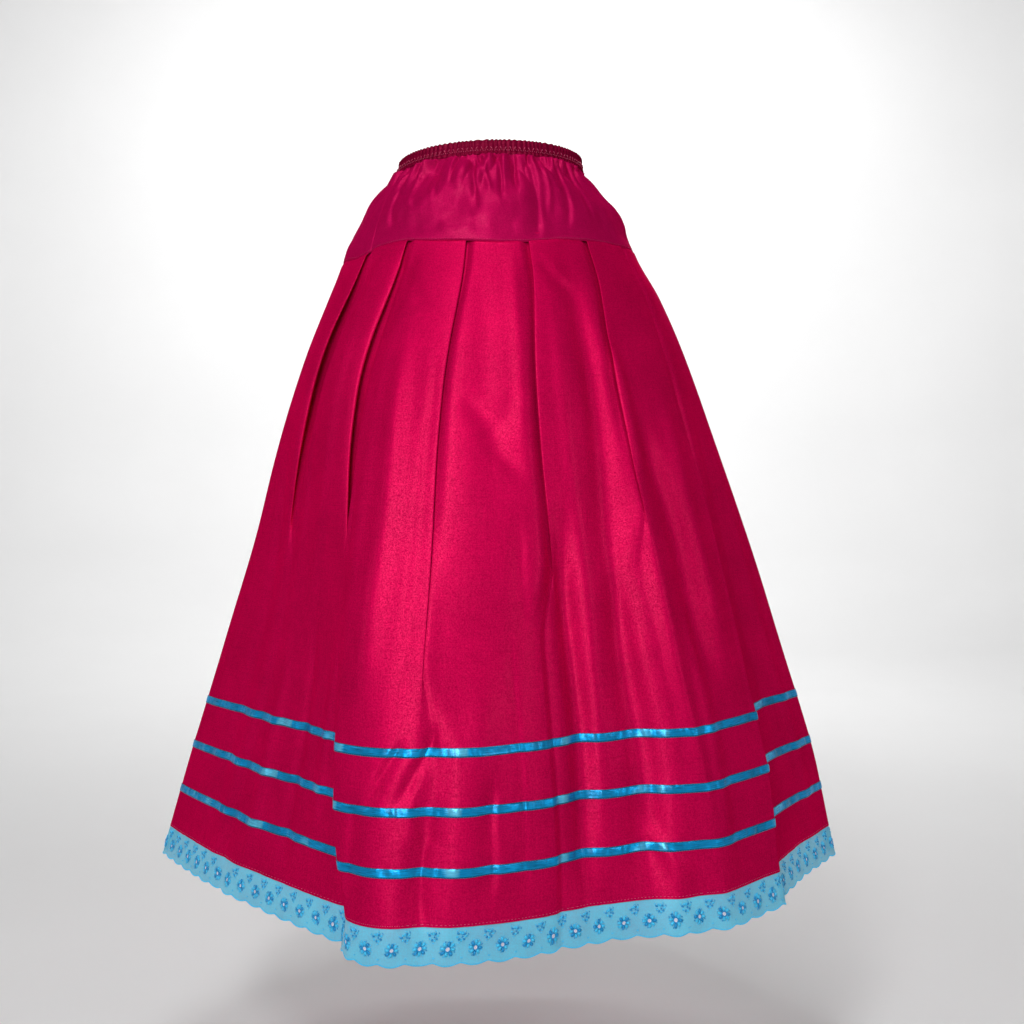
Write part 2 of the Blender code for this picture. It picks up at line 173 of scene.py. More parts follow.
FRONT_CREASES = creases(
    (16.5, -0.168, 25.0, -0.222, 9, -2.2), (21.0, -0.185, 28.0, -0.200, 7, 1.2),
    (-32.0, -0.168, -21.0, -0.222, 9, -1.8), (17.2, -0.240, 17.2, -0.780, 12, 2.2),
    (26.0, -0.200, 23.6, -0.600, 20, -9.0), (32.0, -0.260, 31.4, -0.860, 16, 4.0),
    (24.4, -0.560, 24.6, -0.912, 26, -14.5), (12.4, -0.520, 13.4, -0.912, 19, -13.0),
    (33.0, -0.280, 34.0, -0.440, 11, 5.0), (38.5, -0.400, 41.5, -0.690, 22, -9.5),
    (47.5, -0.360, 46.5, -0.660, 16, 4.0), (56.4, -0.330, 51.2, -0.790, 6, 3.8),
    (58.2, -0.330, 53.0, -0.790, 9, -6.5), (38.0, -0.620, 37.0, -0.900, 12, 4.0),
    (1.5, -0.640, 4.0, -0.905, 5.0, -1.6), (-15.0, -0.735, -19.5, -0.800, 6, -3.4),
    (-10.0, -0.722, -14.6, -0.795, 6, -4.0), (-21.0, -0.800, -20.0, -0.915, 9, -3.6),
    (-11.3, -0.795, -10.4, -0.916, 9, -4.0), (-3.3, -0.680, -4.0, -0.905, 22, 4.0),
    (-1.8, -0.780, -1.4, -0.895, 9, -5.0), (24.0, -0.840, 29.0, -0.905, 10, 3.0),
    (-6.4, -0.345, 0.5, -0.400, 14, -1.8), (5.2, -0.340, -1.0, -0.400, 14, -1.2),
    (-1.0, -0.400, 6.0, -0.450, 13, -1.6), (3.5, -0.500, 4.0, -0.620, 9, -2.0),
    (-4.0, -0.160, -1.0, -0.460, 22, -2.4), (7.0, -0.170, 7.0, -0.440, 12, 2.4),
    (-24.0, -0.290, -22.4, -0.690, 17, 6.0), (-32.0, -0.230, -33.0, -0.480, 14, -3.0),
    (-33.8, -0.480, -29.8, -0.730, 6, 2.6), (-32.2, -0.450, -28.2, -0.740, 7, -4.2),
    (-14.8, -0.300, -16.0, -0.680, 8, -1.6), (-45.0, -0.240, -47.0, -0.600, 13, 2.4),
    (-54.0, -0.230, -53.0, -0.520, 8, -2.0), (-43.0, -0.640, -39.0, -0.905, 12, -4.5),
    (-52.0, -0.680, -50.0, -0.900, 14, 4.0), (-34.0, -0.640, -32.5, -0.860, 9, 3.8),
    (-68.0, -0.420, -66.0, -0.880, 16, -3.5), (-76.0, -0.300, -78.0, -0.760, 14, 2.5),
    (66.0, -0.330, 64.0, -0.800, 16, -3.0), (73.0, -0.420, 72.0, -0.900, 14, 3.2),
)
BACK_CREASES = creases(
    (92.0, -0.250, 90.0, -0.680, 14, 2.6), (96.0, -0.480, 94.0, -0.900, 15, -3.4),
    (113.0, -0.230, 112.0, -0.560, 11, -2.2), (116.0, -0.520, 112.0, -0.900, 16, 3.6),
    (134.0, -0.170, 141.0, -0.226, 9, -2.0), (137.0, -0.300, 136.0, -0.720, 15, 2.6),
    (140.0, -0.640, 138.0, -0.905, 11, -3.4), (158.0, -0.260, 156.0, -0.660, 13, -2.6),
    (161.0, -0.560, 157.0, -0.900, 14, 3.0), (180.0, -0.180, 183.0, -0.640, 18, 2.4),
    (179.0, -0.660, 176.0, -0.905, 10, -3.4), (187.0, -0.700, 189.0, -0.880, 8, 2.4),
    (204.0, -0.220, 206.0, -0.700, 13, -2.4), (207.0, -0.600, 203.0, -0.905, 13, 3.4),
    (226.0, -0.176, 232.0, -0.230, 8, -1.9), (229.0, -0.330, 227.0, -0.760, 15, 2.8),
    (224.0, -0.690, 228.0, -0.905, 10, -3.6), (250.0, -0.260, 248.0, -0.620, 12, -2.4),
    (252.0, -0.560, 251.0, -0.900, 15, 3.2), (271.0, -0.300, 269.0, -0.740, 14, -2.6),
    (267.0, -0.660, 270.0, -0.905, 10, 2.6),
)

# Narrow creases are steep towards smaller angles below this angle, and the other way above it
STEEP_SIDE = -11.0

# The yoke's longer folds, which run down from the band
YOKE_FOLDS = creases(
    (-50.0, -0.012, -40.0, -0.118, 5.0, -1.9), (-42.0, -0.012, -33.0, -0.090, 4.0, 1.0),
    (-29.5, -0.012, -23.0, -0.072, 3.5, -1.3), (-19.5, -0.012, -17.0, -0.052, 2.8, -1.1),
    (-8.5, -0.012, -4.5, -0.092, 3.6, -2.0), (-3.0, -0.012, 0.5, -0.070, 3.4, 1.2),
    (6.0, -0.012, 5.5, -0.076, 3.0, -1.9), (14.5, -0.012, 12.0, -0.066, 3.0, -1.6),
    (23.0, -0.012, 18.0, -0.138, 6.0, -2.4), (31.0, -0.012, 25.0, -0.100, 4.2, 1.3),
    (41.0, -0.012, 31.5, -0.120, 5.4, -2.2), (52.0, -0.012, 45.5, -0.104, 4.4, -1.6),
    (70.0, -0.012, 64.0, -0.096, 4.6, -1.6), (92.0, -0.012, 90.0, -0.112, 5.0, -1.8),
    (108.0, -0.012, 109.0, -0.080, 4.0, 1.2), (118.0, -0.012, 119.0, -0.096, 4.2, -1.7),
    (141.0, -0.012, 143.0, -0.118, 5.2, -2.1), (156.0, -0.012, 157.0, -0.074, 3.6, -1.4),
    (169.0, -0.012, 172.0, -0.126, 5.4, -2.0), (184.0, -0.012, 183.0, -0.082, 3.6, 1.2),
    (196.0, -0.012, 193.0, -0.104, 4.4, -1.8), (213.0, -0.012, 212.0, -0.130, 5.6, -2.2),
    (229.0, -0.012, 226.0, -0.078, 3.8, -1.4), (246.0, -0.012, 243.0, -0.110, 4.6, -1.8),
    (263.0, -0.012, 259.0, -0.094, 4.0, 1.2), (279.0, -0.012, 276.0, -0.116, 5.0, -1.9),
)
# Angles of the yoke's side seams at the band and at the hip
YOKE_SEAMS = ((-55.5, -49.0), (127.0, 127.0))
# From the hip seam, the hem and a ribbon's edge to their lines of stitches
HIP_STITCHES, HEM_STITCHES, RIBBON_STITCHES = 0.0032, 0.0026, 0.0007


def between(low, high, share):
    return low + (high - low) * share


def ease(share):
    """0 to 1, flat at both ends."""
    share = np.clip(share, 0.0, 1.0)
    return share * share * (3 - 2 * share)


def through(keys, values, key):
    """A smooth curve through the values at the keys, which rise."""
    i = min(max(bisect.bisect_right(keys, key) - 1, 0), len(keys) - 2)
    span = keys[i + 1] - keys[i]

    def slope(j):
        first, last = max(j - 1, 0), min(j + 1, len(keys) - 1)
        return (values[last] - values[first]) / (keys[last] - keys[first]) * span

    share = min(1.0, max(0.0, (key - keys[i]) / span))
    a, b = values[i], values[i + 1]
    steep = 3 * (b - a) - 2 * slope(i) - slope(i + 1)
    return a + share * (slope(i) + share * (steep + share * (slope(i) + slope(i + 1) - 2 * (b - a))))


# The tables' columns at every millimetre of height, on the same curves as the solids
LEVELS = np.linspace(-1.010, 0.030, 1041)


def column(rows, name):
    keys = [-row.height for row in rows]
    values = [getattr(row, name) for row in rows]
    return np.array([through(keys, values, -level) for level in LEVELS])


HALF_WIDTH, HALF_DEPTH = column(FORMS, "half_width"), column(FORMS, "half_depth")
CENTRE_X = column(FORMS, "centre_x")
LIFT, TILT = column(ROW_LINES, "lift"), column(ROW_LINES, "tilt")


def at_level(values, level):
    return np.interp(level, LEVELS, values)


# How far the hip seam wanders up or down, by angle, in millimetres
HIP_WANDER = (
    (-90, -5), (-72, -6), (-58, -9), (-52, -5), (-46, 2), (-38, 6), (-31, 8), (-20, 5),
    (-8, 3), (4, -1), (14, -2), (26, 0), (39, -2), (56, -6), (68, -7), (90, -4),
    (112, -1), (130, 3), (150, 1), (172, -3), (195, 1), (212, 4), (235, -2), (252, 2),
)


def on_form(height, angle, offset):
    """The points that stand `offset` off the form, at these angles, on the row with this front height."""
    turn = np.radians(angle)
    across, ahead = np.sin(turn), np.cos(turn)
    level = height + at_level(LIFT, height) * across * across + at_level(TILT, height) * across
    wander = np.interp(angle, *np.transpose(HIP_WANDER), period=360) / 1000
    level = level + wander * np.exp(-(((height - HIP) / 0.055) ** 2))
    wide, deep = at_level(HALF_WIDTH, level), at_level(HALF_DEPTH, level)
    out_x, out_y = across / wide, -ahead / deep
    size = np.hypot(out_x, out_y)
    x = at_level(CENTRE_X, level) + wide * across + offset * out_x / size
    y = -deep * ahead + offset * out_y / size
    return np.stack(np.broadcast_arrays(x, y, level), axis=-1)


ANGLES = np.linspace(-180.0, 540.0, 1441)


def lengths_round(height):
    """Metres round the form at this height, from angle 0 to each of ANGLES."""
    turn = np.radians(ANGLES)
    wide, deep = at_level(HALF_WIDTH, height), at_level(HALF_DEPTH, height)
    pace = np.hypot(wide * np.cos(turn), deep * np.sin(turn))
    steps = (pace[1:] + pace[:-1]) / 2 * np.diff(turn)
    lengths = np.concatenate([[0.0], np.cumsum(steps)])
    return lengths - np.interp(0.0, ANGLES, lengths)


def opened(height):
    """How far the cone has widened from the hip to the hem, 0 to 1."""
    girth = HALF_WIDTH + HALF_DEPTH
    hip, hem = at_level(girth, HIP), at_level(girth, HEM)
    return (at_level(girth, height) - hip) / (hem - hip)


def drape(height):
    """How much of the offsets at the hem shows at a height, 0 to 1."""
    return ease((height - OFFSET_START) / (OFFSET_FULL - OFFSET_START))


def looseness(height):
    return ease((height - LAYERS_PRESSED) / (LAYERS_LOOSE - LAYERS_PRESSED))


def round_noise(angle, cells, y, seed):
    """Smooth noise from -1 to 1 that changes `cells` times round the skirt and once over each unit of y."""
    x, y = np.broadcast_arrays(np.asarray(angle, float) * cells / 360, np.asarray(y, float))
    table = np.random.default_rng(seed).uniform(-1, 1, (cells, 64))
    i, j = np.floor(x).astype(int), np.floor(y).astype(int)
    u, v = ease(x - i), ease(y - j)
    corner = [[table[(i + a) % cells, (j + b) % 64] for b in (0, 1)] for a in (0, 1)]
    return between(between(corner[0][0], corner[1][0], u), between(corner[0][1], corner[1][1], u), v)


def apart(angle, middle):
    """Degrees from the middle to these angles, the short way round."""
    return (angle - middle + 180) % 360 - 180


def crease_depth(rows, height, angle):
    """What a table of creases adds to the offset at one height and these angles, in metres."""
    total = np.zeros(len(angle))
    pace = np.radians(1) * np.hypot(
        at_level(HALF_WIDTH, height) * np.cos(np.radians(angle)),
        at_level(HALF_DEPTH, height) * np.sin(np.radians(angle)),
    )
    for crease in rows:
        share = (height - crease.height) / (crease.end_height - crease.height)
        if not -0.15 < share < 1.15:
            continue
        middle = between(crease.angle, crease.end_angle, share)
        wander = 0.12 * crease.width / 1000 * math.sin(9 * share + crease.angle)
        away = apart(angle, middle) * pace + wander
        strength = ease((share + 0.15) / 0.35) * ease((1.15 - share) / 0.35)
        width = crease.width / 1000 * between(0.8, 1.15, share)
        if crease.depth < 0 and crease.width < 11:
            steep = -1 if middle < STEEP_SIDE else 1
            width = width * np.where(away * steep > 0, 0.8, 1.5)
        total += crease.depth / 1000 * strength * np.exp(-((away / width) ** 2))
    return total


def edge_angle(pleat, height):
    """The angle of a fold's edge at this height."""
    keys = [-level for level in PLEAT_HEIGHTS]
    return through(keys, [pleat.hip, pleat.waist_side, pleat.knee, pleat.hem], -height)


def fold_corners(index, height, edges, round_length):
    """A fold's six corners as [length round the form, offset], in the order of growing angles."""
    pleat, edge = PLEATS[index], edges[index]
    count = len(PLEATS)
    behind = PLEATS[(index - pleat.facing) % count]
    spacing = (edge - edges[(index - pleat.facing) % count]) * pleat.facing % round_length
    room = spacing * (ROOM_BEHIND_ONE if behind.facing == pleat.facing else ROOM_BEHIND_TWO)
    overlap = min(between(HIP_OVERLAP, pleat.overlap / 1000, opened(height)), room)
    shown = drape(height)
    gape = GAPES[index]
    gap = between(HIP_LAYER_GAP, LOOSE_LAYER_GAP * gape.layers, looseness(height))
    gap *= between(0.25, 1.0, ease(overlap / 0.020))
    mouth = between(MOUTH, gape.mouth / 1000, ease((HIP - height) / 0.13) * ease((height + 0.60) / 0.26))
    top, shoulder = pleat.top / 1000 * shown, pleat.shoulder / 1000 * shown
    reach = mouth - MOUTH + between(HIP_SHOULDER, HEM_SHOULDER, shown)
    alongs = (0, 0, -overlap, -overlap, mouth)
    folded = [(along, top - depth * gap) for along, depth in zip(alongs, LAYER_DEPTHS)]
    folded.append((reach, shoulder))
    step = max(OPEN_STEP, -overlap)
    low = min(top - gap, shoulder) if shoulder < top else between(top, shoulder, OPEN_SAG)
    flat = [(along * step, between(top, low, depth)) for along, depth in OPEN_CORNERS]
    flat += [(step, (low + shoulder) / 2), (step + reach, shoulder)]
    closed = ease((overlap - OVERLAP_OPEN) / (OVERLAP_CLOSED - OVERLAP_OPEN))
    corners = [
        [edge + pleat.facing * between(f[0], c[0], closed), between(f[1], c[1], closed)]
        for f, c in zip(flat, folded)
    ]
    return corners[:: pleat.facing]


def drop_under(fold, facing, far, bow):
    """Lower the hidden edge of a fold by what the panel over it falls away from the fold's top."""
    near = fold[0] if facing > 0 else fold[-1]
    share = max(0.0, (near[0] - fold[2][0]) / (near[0] - far[0]))
    drop = near[1] - between(near[1], far[1], share) - bow * 4 * share * (1 - share)
    for corner in (2, 3):
        fold[corner][1] -= max(0.0, drop)


def control_points(height):
    """The corners of the pleated section as rows of length, offset and roundness, and the form's lengths."""
    lengths = lengths_round(height)
    total = np.interp(360.0, ANGLES, lengths)
    edges = list(np.interp([edge_angle(pleat, height) for pleat in PLEATS], ANGLES, lengths))
    folds = [fold_corners(index, height, edges, total) for index in range(len(PLEATS))]
    bows = [pleat.bow / 1000 * drape(height) for pleat in PLEATS]
    first, last = folds[0][0], folds[-1][-1]
    befores = [[last[0] - total, last[1]]] + [fold[-1] for fold in folds[:-1]]
    afters = [fold[0] for fold in folds[1:]] + [[first[0] + total, first[1]]]
    loose = looseness(height)
    rounds = [between(pressed, soft, loose) for pressed, soft in zip(PRESSED_ROUND, LOOSE_ROUND)]
    rows = []
    for index, pleat in enumerate(PLEATS):
        fold, after = folds[index], afters[index]
        if pleat.facing > 0:
            drop_under(fold, 1, befores[index], bows[index - 1])
        else:
            drop_under(fold, -1, after, bows[index])
        rows += [(*corner, soft) for corner, soft in zip(fold, rounds[:: pleat.facing])]
        for step in range(1, PANEL_POINTS + 1):
            share = step / (PANEL_POINTS + 1)
            bow = bows[index] * 4 * share * (1 - share)
            along, offset = (between(fold[-1][axis], after[axis], share) for axis in (0, 1))
            rows.append((along, offset + bow, 1))
    return np.array(rows), total, lengths


def samples(fineness):
    """Each sample's corner in the section, and its place from 0 to 1 round that corner."""
    counts = (CORNER_SAMPLES + (PANEL_SAMPLES,) * PANEL_POINTS) * len(PLEATS)
    shares = [(np.arange(count * fineness) + 0.5) / (count * fineness) for count in counts]
    return np.repeat(np.arange(len(counts)), [len(share) for share in shares]), np.concatenate(shares)


def section(height, fineness=1):
    """The angles and offsets of the pleated cloth's samples on one row, with its corners rounded."""
    rows, total, lengths = control_points(height)
    points, soft = rows[:, :2], rows[:, 2:]
    turn = np.array([total, 0.0])
    before, after = np.roll(points, 1, axis=0), np.roll(points, -1, axis=0)
    before[0] -= turn
    after[-1] += turn
    back, on = before - points, after - points
    back_size = np.linalg.norm(back, axis=1, keepdims=True)
    on_size = np.linalg.norm(on, axis=1, keepdims=True)
    start = points + back / back_size * np.minimum(soft, back_size / 2)
    end = points + on / on_size * np.minimum(soft, on_size / 2)
    k, t = samples(fineness)
    t = t[:, None]
    rounded = (1 - t) ** 2 * start[k] + 2 * t * (1 - t) * points[k] + t**2 * end[k]
    return np.interp(rounded[:, 0], lengths, ANGLES), rounded[:, 1]


def mouth_troughs(height, angle):
    """The cloth beyond a fold's edge sinks in under it, most over the hips."""
    total = np.zeros(len(angle))
    deep = 4 * ease((HIP - height) / 0.05) * ease((height + 0.62) / 0.30)
    for pleat, gape in zip(PLEATS, GAPES):
        edge = edge_angle(pleat, height)
        away = apart(angle, edge) * pleat.facing
        away = away * np.radians(1) * at_level(HALF_WIDTH, height) - 0.006 - gape.mouth / 1000
        wide = 0.008 + 1.4 * gape.trough / 1000
        total -= deep * gape.trough / 3200 * np.exp(-((away / wide) ** 2))
    return total


def pucker(height, angle):
    """Small puckers along the lines that are sewn on the pleated cloth."""
    total = np.zeros(len(angle))
    for number, line in enumerate((*RIBBON_HEIGHTS.values(), HEM)):
        near = math.exp(-(((height - line) / 0.011) ** 2))
        if near > 0.01:
            total += near * 0.00030 * round_noise(angle, 313, height / 0.02, 40 + number)
            total += near * 0.00025 * round_noise(angle, 116, height / 0.03, 50 + number)
    return total


def wrinkle(height, angle):
    """The cloth's own slight unevenness, longer down than across."""
    fine = round_noise(angle, 156, height / 0.055, 7)
    broad = round_noise(angle, 55, height / 0.16, 8)
    return looseness(height) * (0.00008 * fine + 0.0009 * broad)


def pleated_row(height, strength, fineness=1):
    """The points of the pleated cloth all round at one front height, and their angles."""
    angle, offset = section(height, fineness)
    offset = offset + strength * crease_depth(FRONT_CREASES + BACK_CREASES, height, angle)
    offset = offset + strength * (wrinkle(height, angle) + pucker(height, angle))
    offset = offset + mouth_troughs(height, angle)
    tucked = 0.0022 * ease((height - HIP + 0.0030) / 0.0045) + 0.06 * max(height - HIP, 0)
    return on_form(height, angle, offset - tucked), angle


def halves(ring, fineness=1):
    """A row of the pleated cloth cut in the innermost layer of the two seam pleats, as front and back."""
    count = len(ring) // len(PLEATS)
    cuts = [index * count + fineness * sum(CORNER_SAMPLES[:4]) for index in SEAM_PLEATS]
    start = (ring[cuts[0] - 1] + ring[cuts[0]])[None] / 2
    end = (ring[cuts[1] - 1] + ring[cuts[1]])[None] / 2
    return (
        np.concatenate([start, ring[cuts[0] : cuts[1]], end]),
        np.concatenate([end, ring[cuts[1] :], ring[: cuts[0]], start]),
    )


class Patch:
    """A sheet as rows of points from its top edge down, with its lengths along and down in metres."""

    def __init__(self, rows):
        self.points = np.array(rows)
        along = np.linalg.norm(np.diff(self.points, axis=1), axis=2).mean(axis=0)
        down = np.linalg.norm(np.diff(self.points, axis=0), axis=2).mean(axis=1)
        self.along = np.concatenate([[0.0], np.cumsum(along)])
        self.down = np.concatenate([[0.0], np.cumsum(down)])

    def normals(self):
        """The way out of the skirt at every point."""
        out = np.cross(np.gradient(self.points, axis=1), -np.gradient(self.points, axis=0))
        return out / np.maximum(np.linalg.norm(out, axis=2, keepdims=True), 1e-12)

    def moved_out(self, distances):
        """A patch that stands off this one, by one distance for each row."""
        return Patch(self.points + self.normals() * np.array(distances)[:, None, None])

    def place(self, flat):
        """Points (along, down, out) on the sheet as points of the skirt."""
        out = self.normals()
        col = np.interp(flat[:, 0], self.along, np.arange(len(self.along)))
        row = np.interp(flat[:, 1], self.down, np.arange(len(self.down)))
        i = np.minimum(row.astype(int), len(self.down) - 2)
        j = np.minimum(col.astype(int), len(self.along) - 2)
        v, u = (row - i)[:, None], (col - j)[:, None]

        def mixed(grid):
            upper = between(grid[i, j], grid[i, j + 1], u)
            return between(upper, between(grid[i + 1, j], grid[i + 1, j + 1], u), v)

        return mixed(self.points) + mixed(out) * flat[:, 2:]


def points_of(data):
    points = np.empty(len(data.vertices) * 3)
    data.vertices.foreach_get("co", points)
    return points.reshape(-1, 3)


def finished(name, data, replaces=()):
    """Link a piece and tell the frame what it is."""
    data.shade_smooth()
    piece = bpy.data.objects.new(name, data)
    bpy.context.scene.collection.objects.link(piece)
    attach(piece, BODY)
    if replaces:
        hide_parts(*replaces)
    return piece


def cloth_mesh(name, patch, material, joined=False):
    """A grid laid out over a patch, with the patch's lengths as its UV map."""
    rows, cols = patch.points.shape[:2]
    sheet = bmesh.new()
    bmesh.ops.create_grid(sheet, x_segments=cols - 1, y_segments=rows - 1, size=0.5, calc_uvs=True)
    sheet.loops.layers.uv.verify()
    data = bpy.data.meshes.new(name)
    sheet.to_mesh(data)
    sheet.free()
    flat = points_of(data)
    col = np.rint((flat[:, 0] + 0.5) * (cols - 1)).astype(int)
    row = np.rint((0.5 - flat[:, 1]) * (rows - 1)).astype(int)
    data.vertices.foreach_set("co", patch.points[row, col].ravel())
    corner = np.empty(len(data.loops), dtype=int)
    data.loops.foreach_get("vertex_index", corner)
    uv = np.stack([patch.along[col[corner]], -patch.down[row[corner]]], axis=1)
    data.uv_layers[0].data.foreach_set("uv", uv.ravel())
    if joined:
        sheet = bmesh.new()
        sheet.from_mesh(data)
        edge = [vert for vert in sheet.verts if vert.is_boundary]
        bmesh.ops.remove_doubles(sheet, verts=edge, dist=1e-6)
        sheet.to_mesh(data)
        sheet.free()
    data.materials.append(material)
    data.update()
    return data


def copies(name, unit, places, materials):
    """A unit shape at each of the places: (along, down, out, turn, length, width, height)."""
    data = bpy.data.meshes.new(name)
    unit.to_mesh(data)
    unit.free()
    for material in materials:
        data.materials.append(material)
    places = np.array(places)
    holder = bpy.data.objects.new(name, data)
    bpy.context.scene.collection.objects.link(holder)
    row = holder.modifiers.new("Row", "ARRAY")
    row.count = len(places)
    row.use_relative_offset = False
    shown = holder.evaluated_get(bpy.context.evaluated_depsgraph_get())
    many = bpy.data.meshes.new_from_object(shown)
    bpy.data.objects.remove(holder)
    bpy.data.meshes.remove(data)
    many.name = name
    x, y, z = np.moveaxis(points_of(many).reshape(len(places), -1, 3) * places[:, None, 4:], 2, 0)
    cos, sin = np.cos(places[:, 3:4]), np.sin(places[:, 3:4])
    moved = np.stack([x * cos - y * sin, x * sin + y * cos, z], axis=2) + places[:, None, :3]
    many.vertices.foreach_set("co", moved.ravel())
    many.update()
    return many


def lay(data, patch):
    """Lay a mesh that was made flat, as (along, down, out), on a patch."""
    data.vertices.foreach_set("co", patch.place(points_of(data)).ravel())
    data.flip_normals()
    data.update()
    return data


def oval(length=1.0, width=1.0, height=1.0, at=(0, 0, 0), turn=0.0, into=None, index=0):
    """A small rounded oval of few faces, for a stitch or a petal."""
    shape = into or bmesh.new()
    size = Matrix.Diagonal((length, width, height, 1))
    place = Matrix.Translation(at) @ Matrix.Rotation(turn, 4, "Z") @ size
    verts = bmesh.ops.create_icosphere(shape, subdivisions=1, radius=0.5, matrix=place)["verts"]
    for face in {face for vert in verts for face in vert.link_faces}:
        face.material_index = index
    return shape


def stitches(patch_length, down, out, pitch, length, thick, slant=0.0, start=0.0):
    """The places of a line of stitches along a sheet, straight or as a zigzag."""
    count = int((patch_length - start) / pitch)
    rows = []
    for number in range(count):
        turn = slant if number % 2 else -slant
        rows.append((start + (number + 0.5) * pitch, down, out, turn, length, thick, thick))
    return rows


def feed(node, inputs):
    """Give a node's sockets, by name or number, a value or another node's output."""
    for key, value in inputs.items():
        if isinstance(value, bpy.types.NodeSocket):
            node.id_data.links.new(value, node.inputs[key])
        else:
            node.inputs[key].default_value = value


def add_node(tree, kind, inputs, **settings):
    """Add a shader node and return its outputs."""
    made = tree.nodes.new("ShaderNode" + kind)
    for name, value in settings.items():
        setattr(made, name, value)
    feed(made, inputs)
    return made.outputs


def calc(tree, operation, *values):
    return add_node(tree, "Math", dict(enumerate(values)), operation=operation)[0]


def remap(tree, value, low, high, to_low=0.0, to_high=1.0):
    """The value moved from one range to another and held inside it."""
    return add_node(tree, "MapRange", dict(enumerate((value, low, high, to_low, to_high))))[0]


def noise(tree, vector, scale, detail, **more):
    return add_node(tree, "TexNoise", {"Vector": vector, "Scale": scale, "Detail": detail, **more})[0]


def mixed(tree, share, low, high):
    """A colour between two, each of them a tone or a node's output."""
    low, high = (tone if isinstance(tone, bpy.types.NodeSocket) else (*tone, 1.0) for tone in (low, high))
    return add_node(tree, "Mix", {0: share, 6: low, 7: high}, data_type="RGBA", clamp_factor=True)[2]


def bumped(tree, height, strength, distance, under=None):
    """A bumped normal, on top of another one where there is one."""
    inputs = {"Height": height, "Strength": strength, "Distance": distance}
    if under is not None:
        inputs["Normal"] = under
    return add_node(tree, "Bump", inputs)[0]


def pattern_group(name, sizes, results):
    """A shader node group with a vector and sizes as its inputs, and numbers as its results."""
    tree = bpy.data.node_groups.new(name, "ShaderNodeTree")
    tree.interface.new_socket("Vector", in_out="INPUT", socket_type="NodeSocketVector")
    for label, default in sizes.items():
        socket = tree.interface.new_socket(label, in_out="INPUT", socket_type="NodeSocketFloat")
        socket.default_value = default
    for label in results:
        tree.interface.new_socket(label, in_out="OUTPUT", socket_type="NodeSocketFloat")
    return tree, tree.nodes.new("NodeGroupInput").outputs, tree.nodes.new("NodeGroupOutput")


def weave_group(name):
    """Plain weave: threads over and under each other, and threads of uneven thickness."""
    tree, given, end = pattern_group(name, {"Threads": 1500.0, "Slub": 0.5}, ("Height", "Tone"))
    vector = given["Vector"]
    scaled = add_node(tree, "VectorMath", {0: vector, "Scale": given["Threads"]}, operation="SCALE")[0]
    axes = add_node(tree, "SeparateXYZ", {0: scaled})
    over = calc(tree, "MULTIPLY", calc(tree, "SINE", axes[0]), calc(tree, "SINE", axes[1]))
    slubs = [
        noise(tree, add_node(tree, "Mapping", {0: vector, "Scale": size})[0], 1.0, 2.0)
        for size in ((30.0, 900.0, 1.0), (900.0, 30.0, 1.0))
    ]
    slub = calc(tree, "MULTIPLY", calc(tree, "ADD", *slubs), given["Slub"])
    feed(end, {"Height": calc(tree, "MULTIPLY_ADD", over, 0.25, slub), "Tone": slub})
    return tree


def mottle_group(name):
    """Fine glints and broad slow changes, as on a closely woven satin cloth."""
    tree, given, end = pattern_group(name, {"Fine": 620.0, "Broad": 14.0}, ("Glint", "Cloud", "Crush"))
    vector = given["Vector"]
    fine = noise(tree, vector, given["Fine"], 3.0, Roughness=0.7)
    broad = noise(tree, vector, given["Broad"], 4.0)
    crush = noise(tree, vector, 85.0, 3.0, Distortion=0.6)
    feed(end, {"Glint": remap(tree, fine, 0.36, 0.64), "Cloud": remap(tree, broad, 0.3, 0.7), "Crush": crush})
    return tree


def thread_group(name):
    """Threads that lie side by side along the first axis, for satin and for embroidery."""
    tree, given, end = pattern_group(name, {"Along": 35.0, "Across": 2200.0}, ("Height", "Tone"))
    sizes = add_node(tree, "CombineXYZ", {0: given["Along"], 1: given["Across"], 2: given["Across"]})[0]
    mapped = add_node(tree, "VectorMath", {0: given["Vector"], 1: sizes}, operation="MULTIPLY")[0]
    lines = noise(tree, mapped, 1.0, 1.0)
    feed(end, {"Height": lines, "Tone": remap(tree, lines, 0.3, 0.7)})
    return tree


PATTERNS = {"Plain weave": weave_group, "Satin mottle": mottle_group, "Lying threads": thread_group}


def pattern(tree, name, vector, **sizes):
    """The outputs of a pattern's group, which is made when it is first asked for."""
    group = bpy.data.node_groups.get(name) or PATTERNS[name](name)
    return add_node(tree, "Group", {"Vector": vector, **sizes}, node_tree=group)


def new_material(name):
    """A material with its tree, its shader and the outputs of its texture coordinates."""
    material = bpy.data.materials.new(name)
    material.use_nodes = True
    tree = material.node_tree
    return material, tree, tree.nodes["Principled BSDF"], add_node(tree, "TexCoord", {})


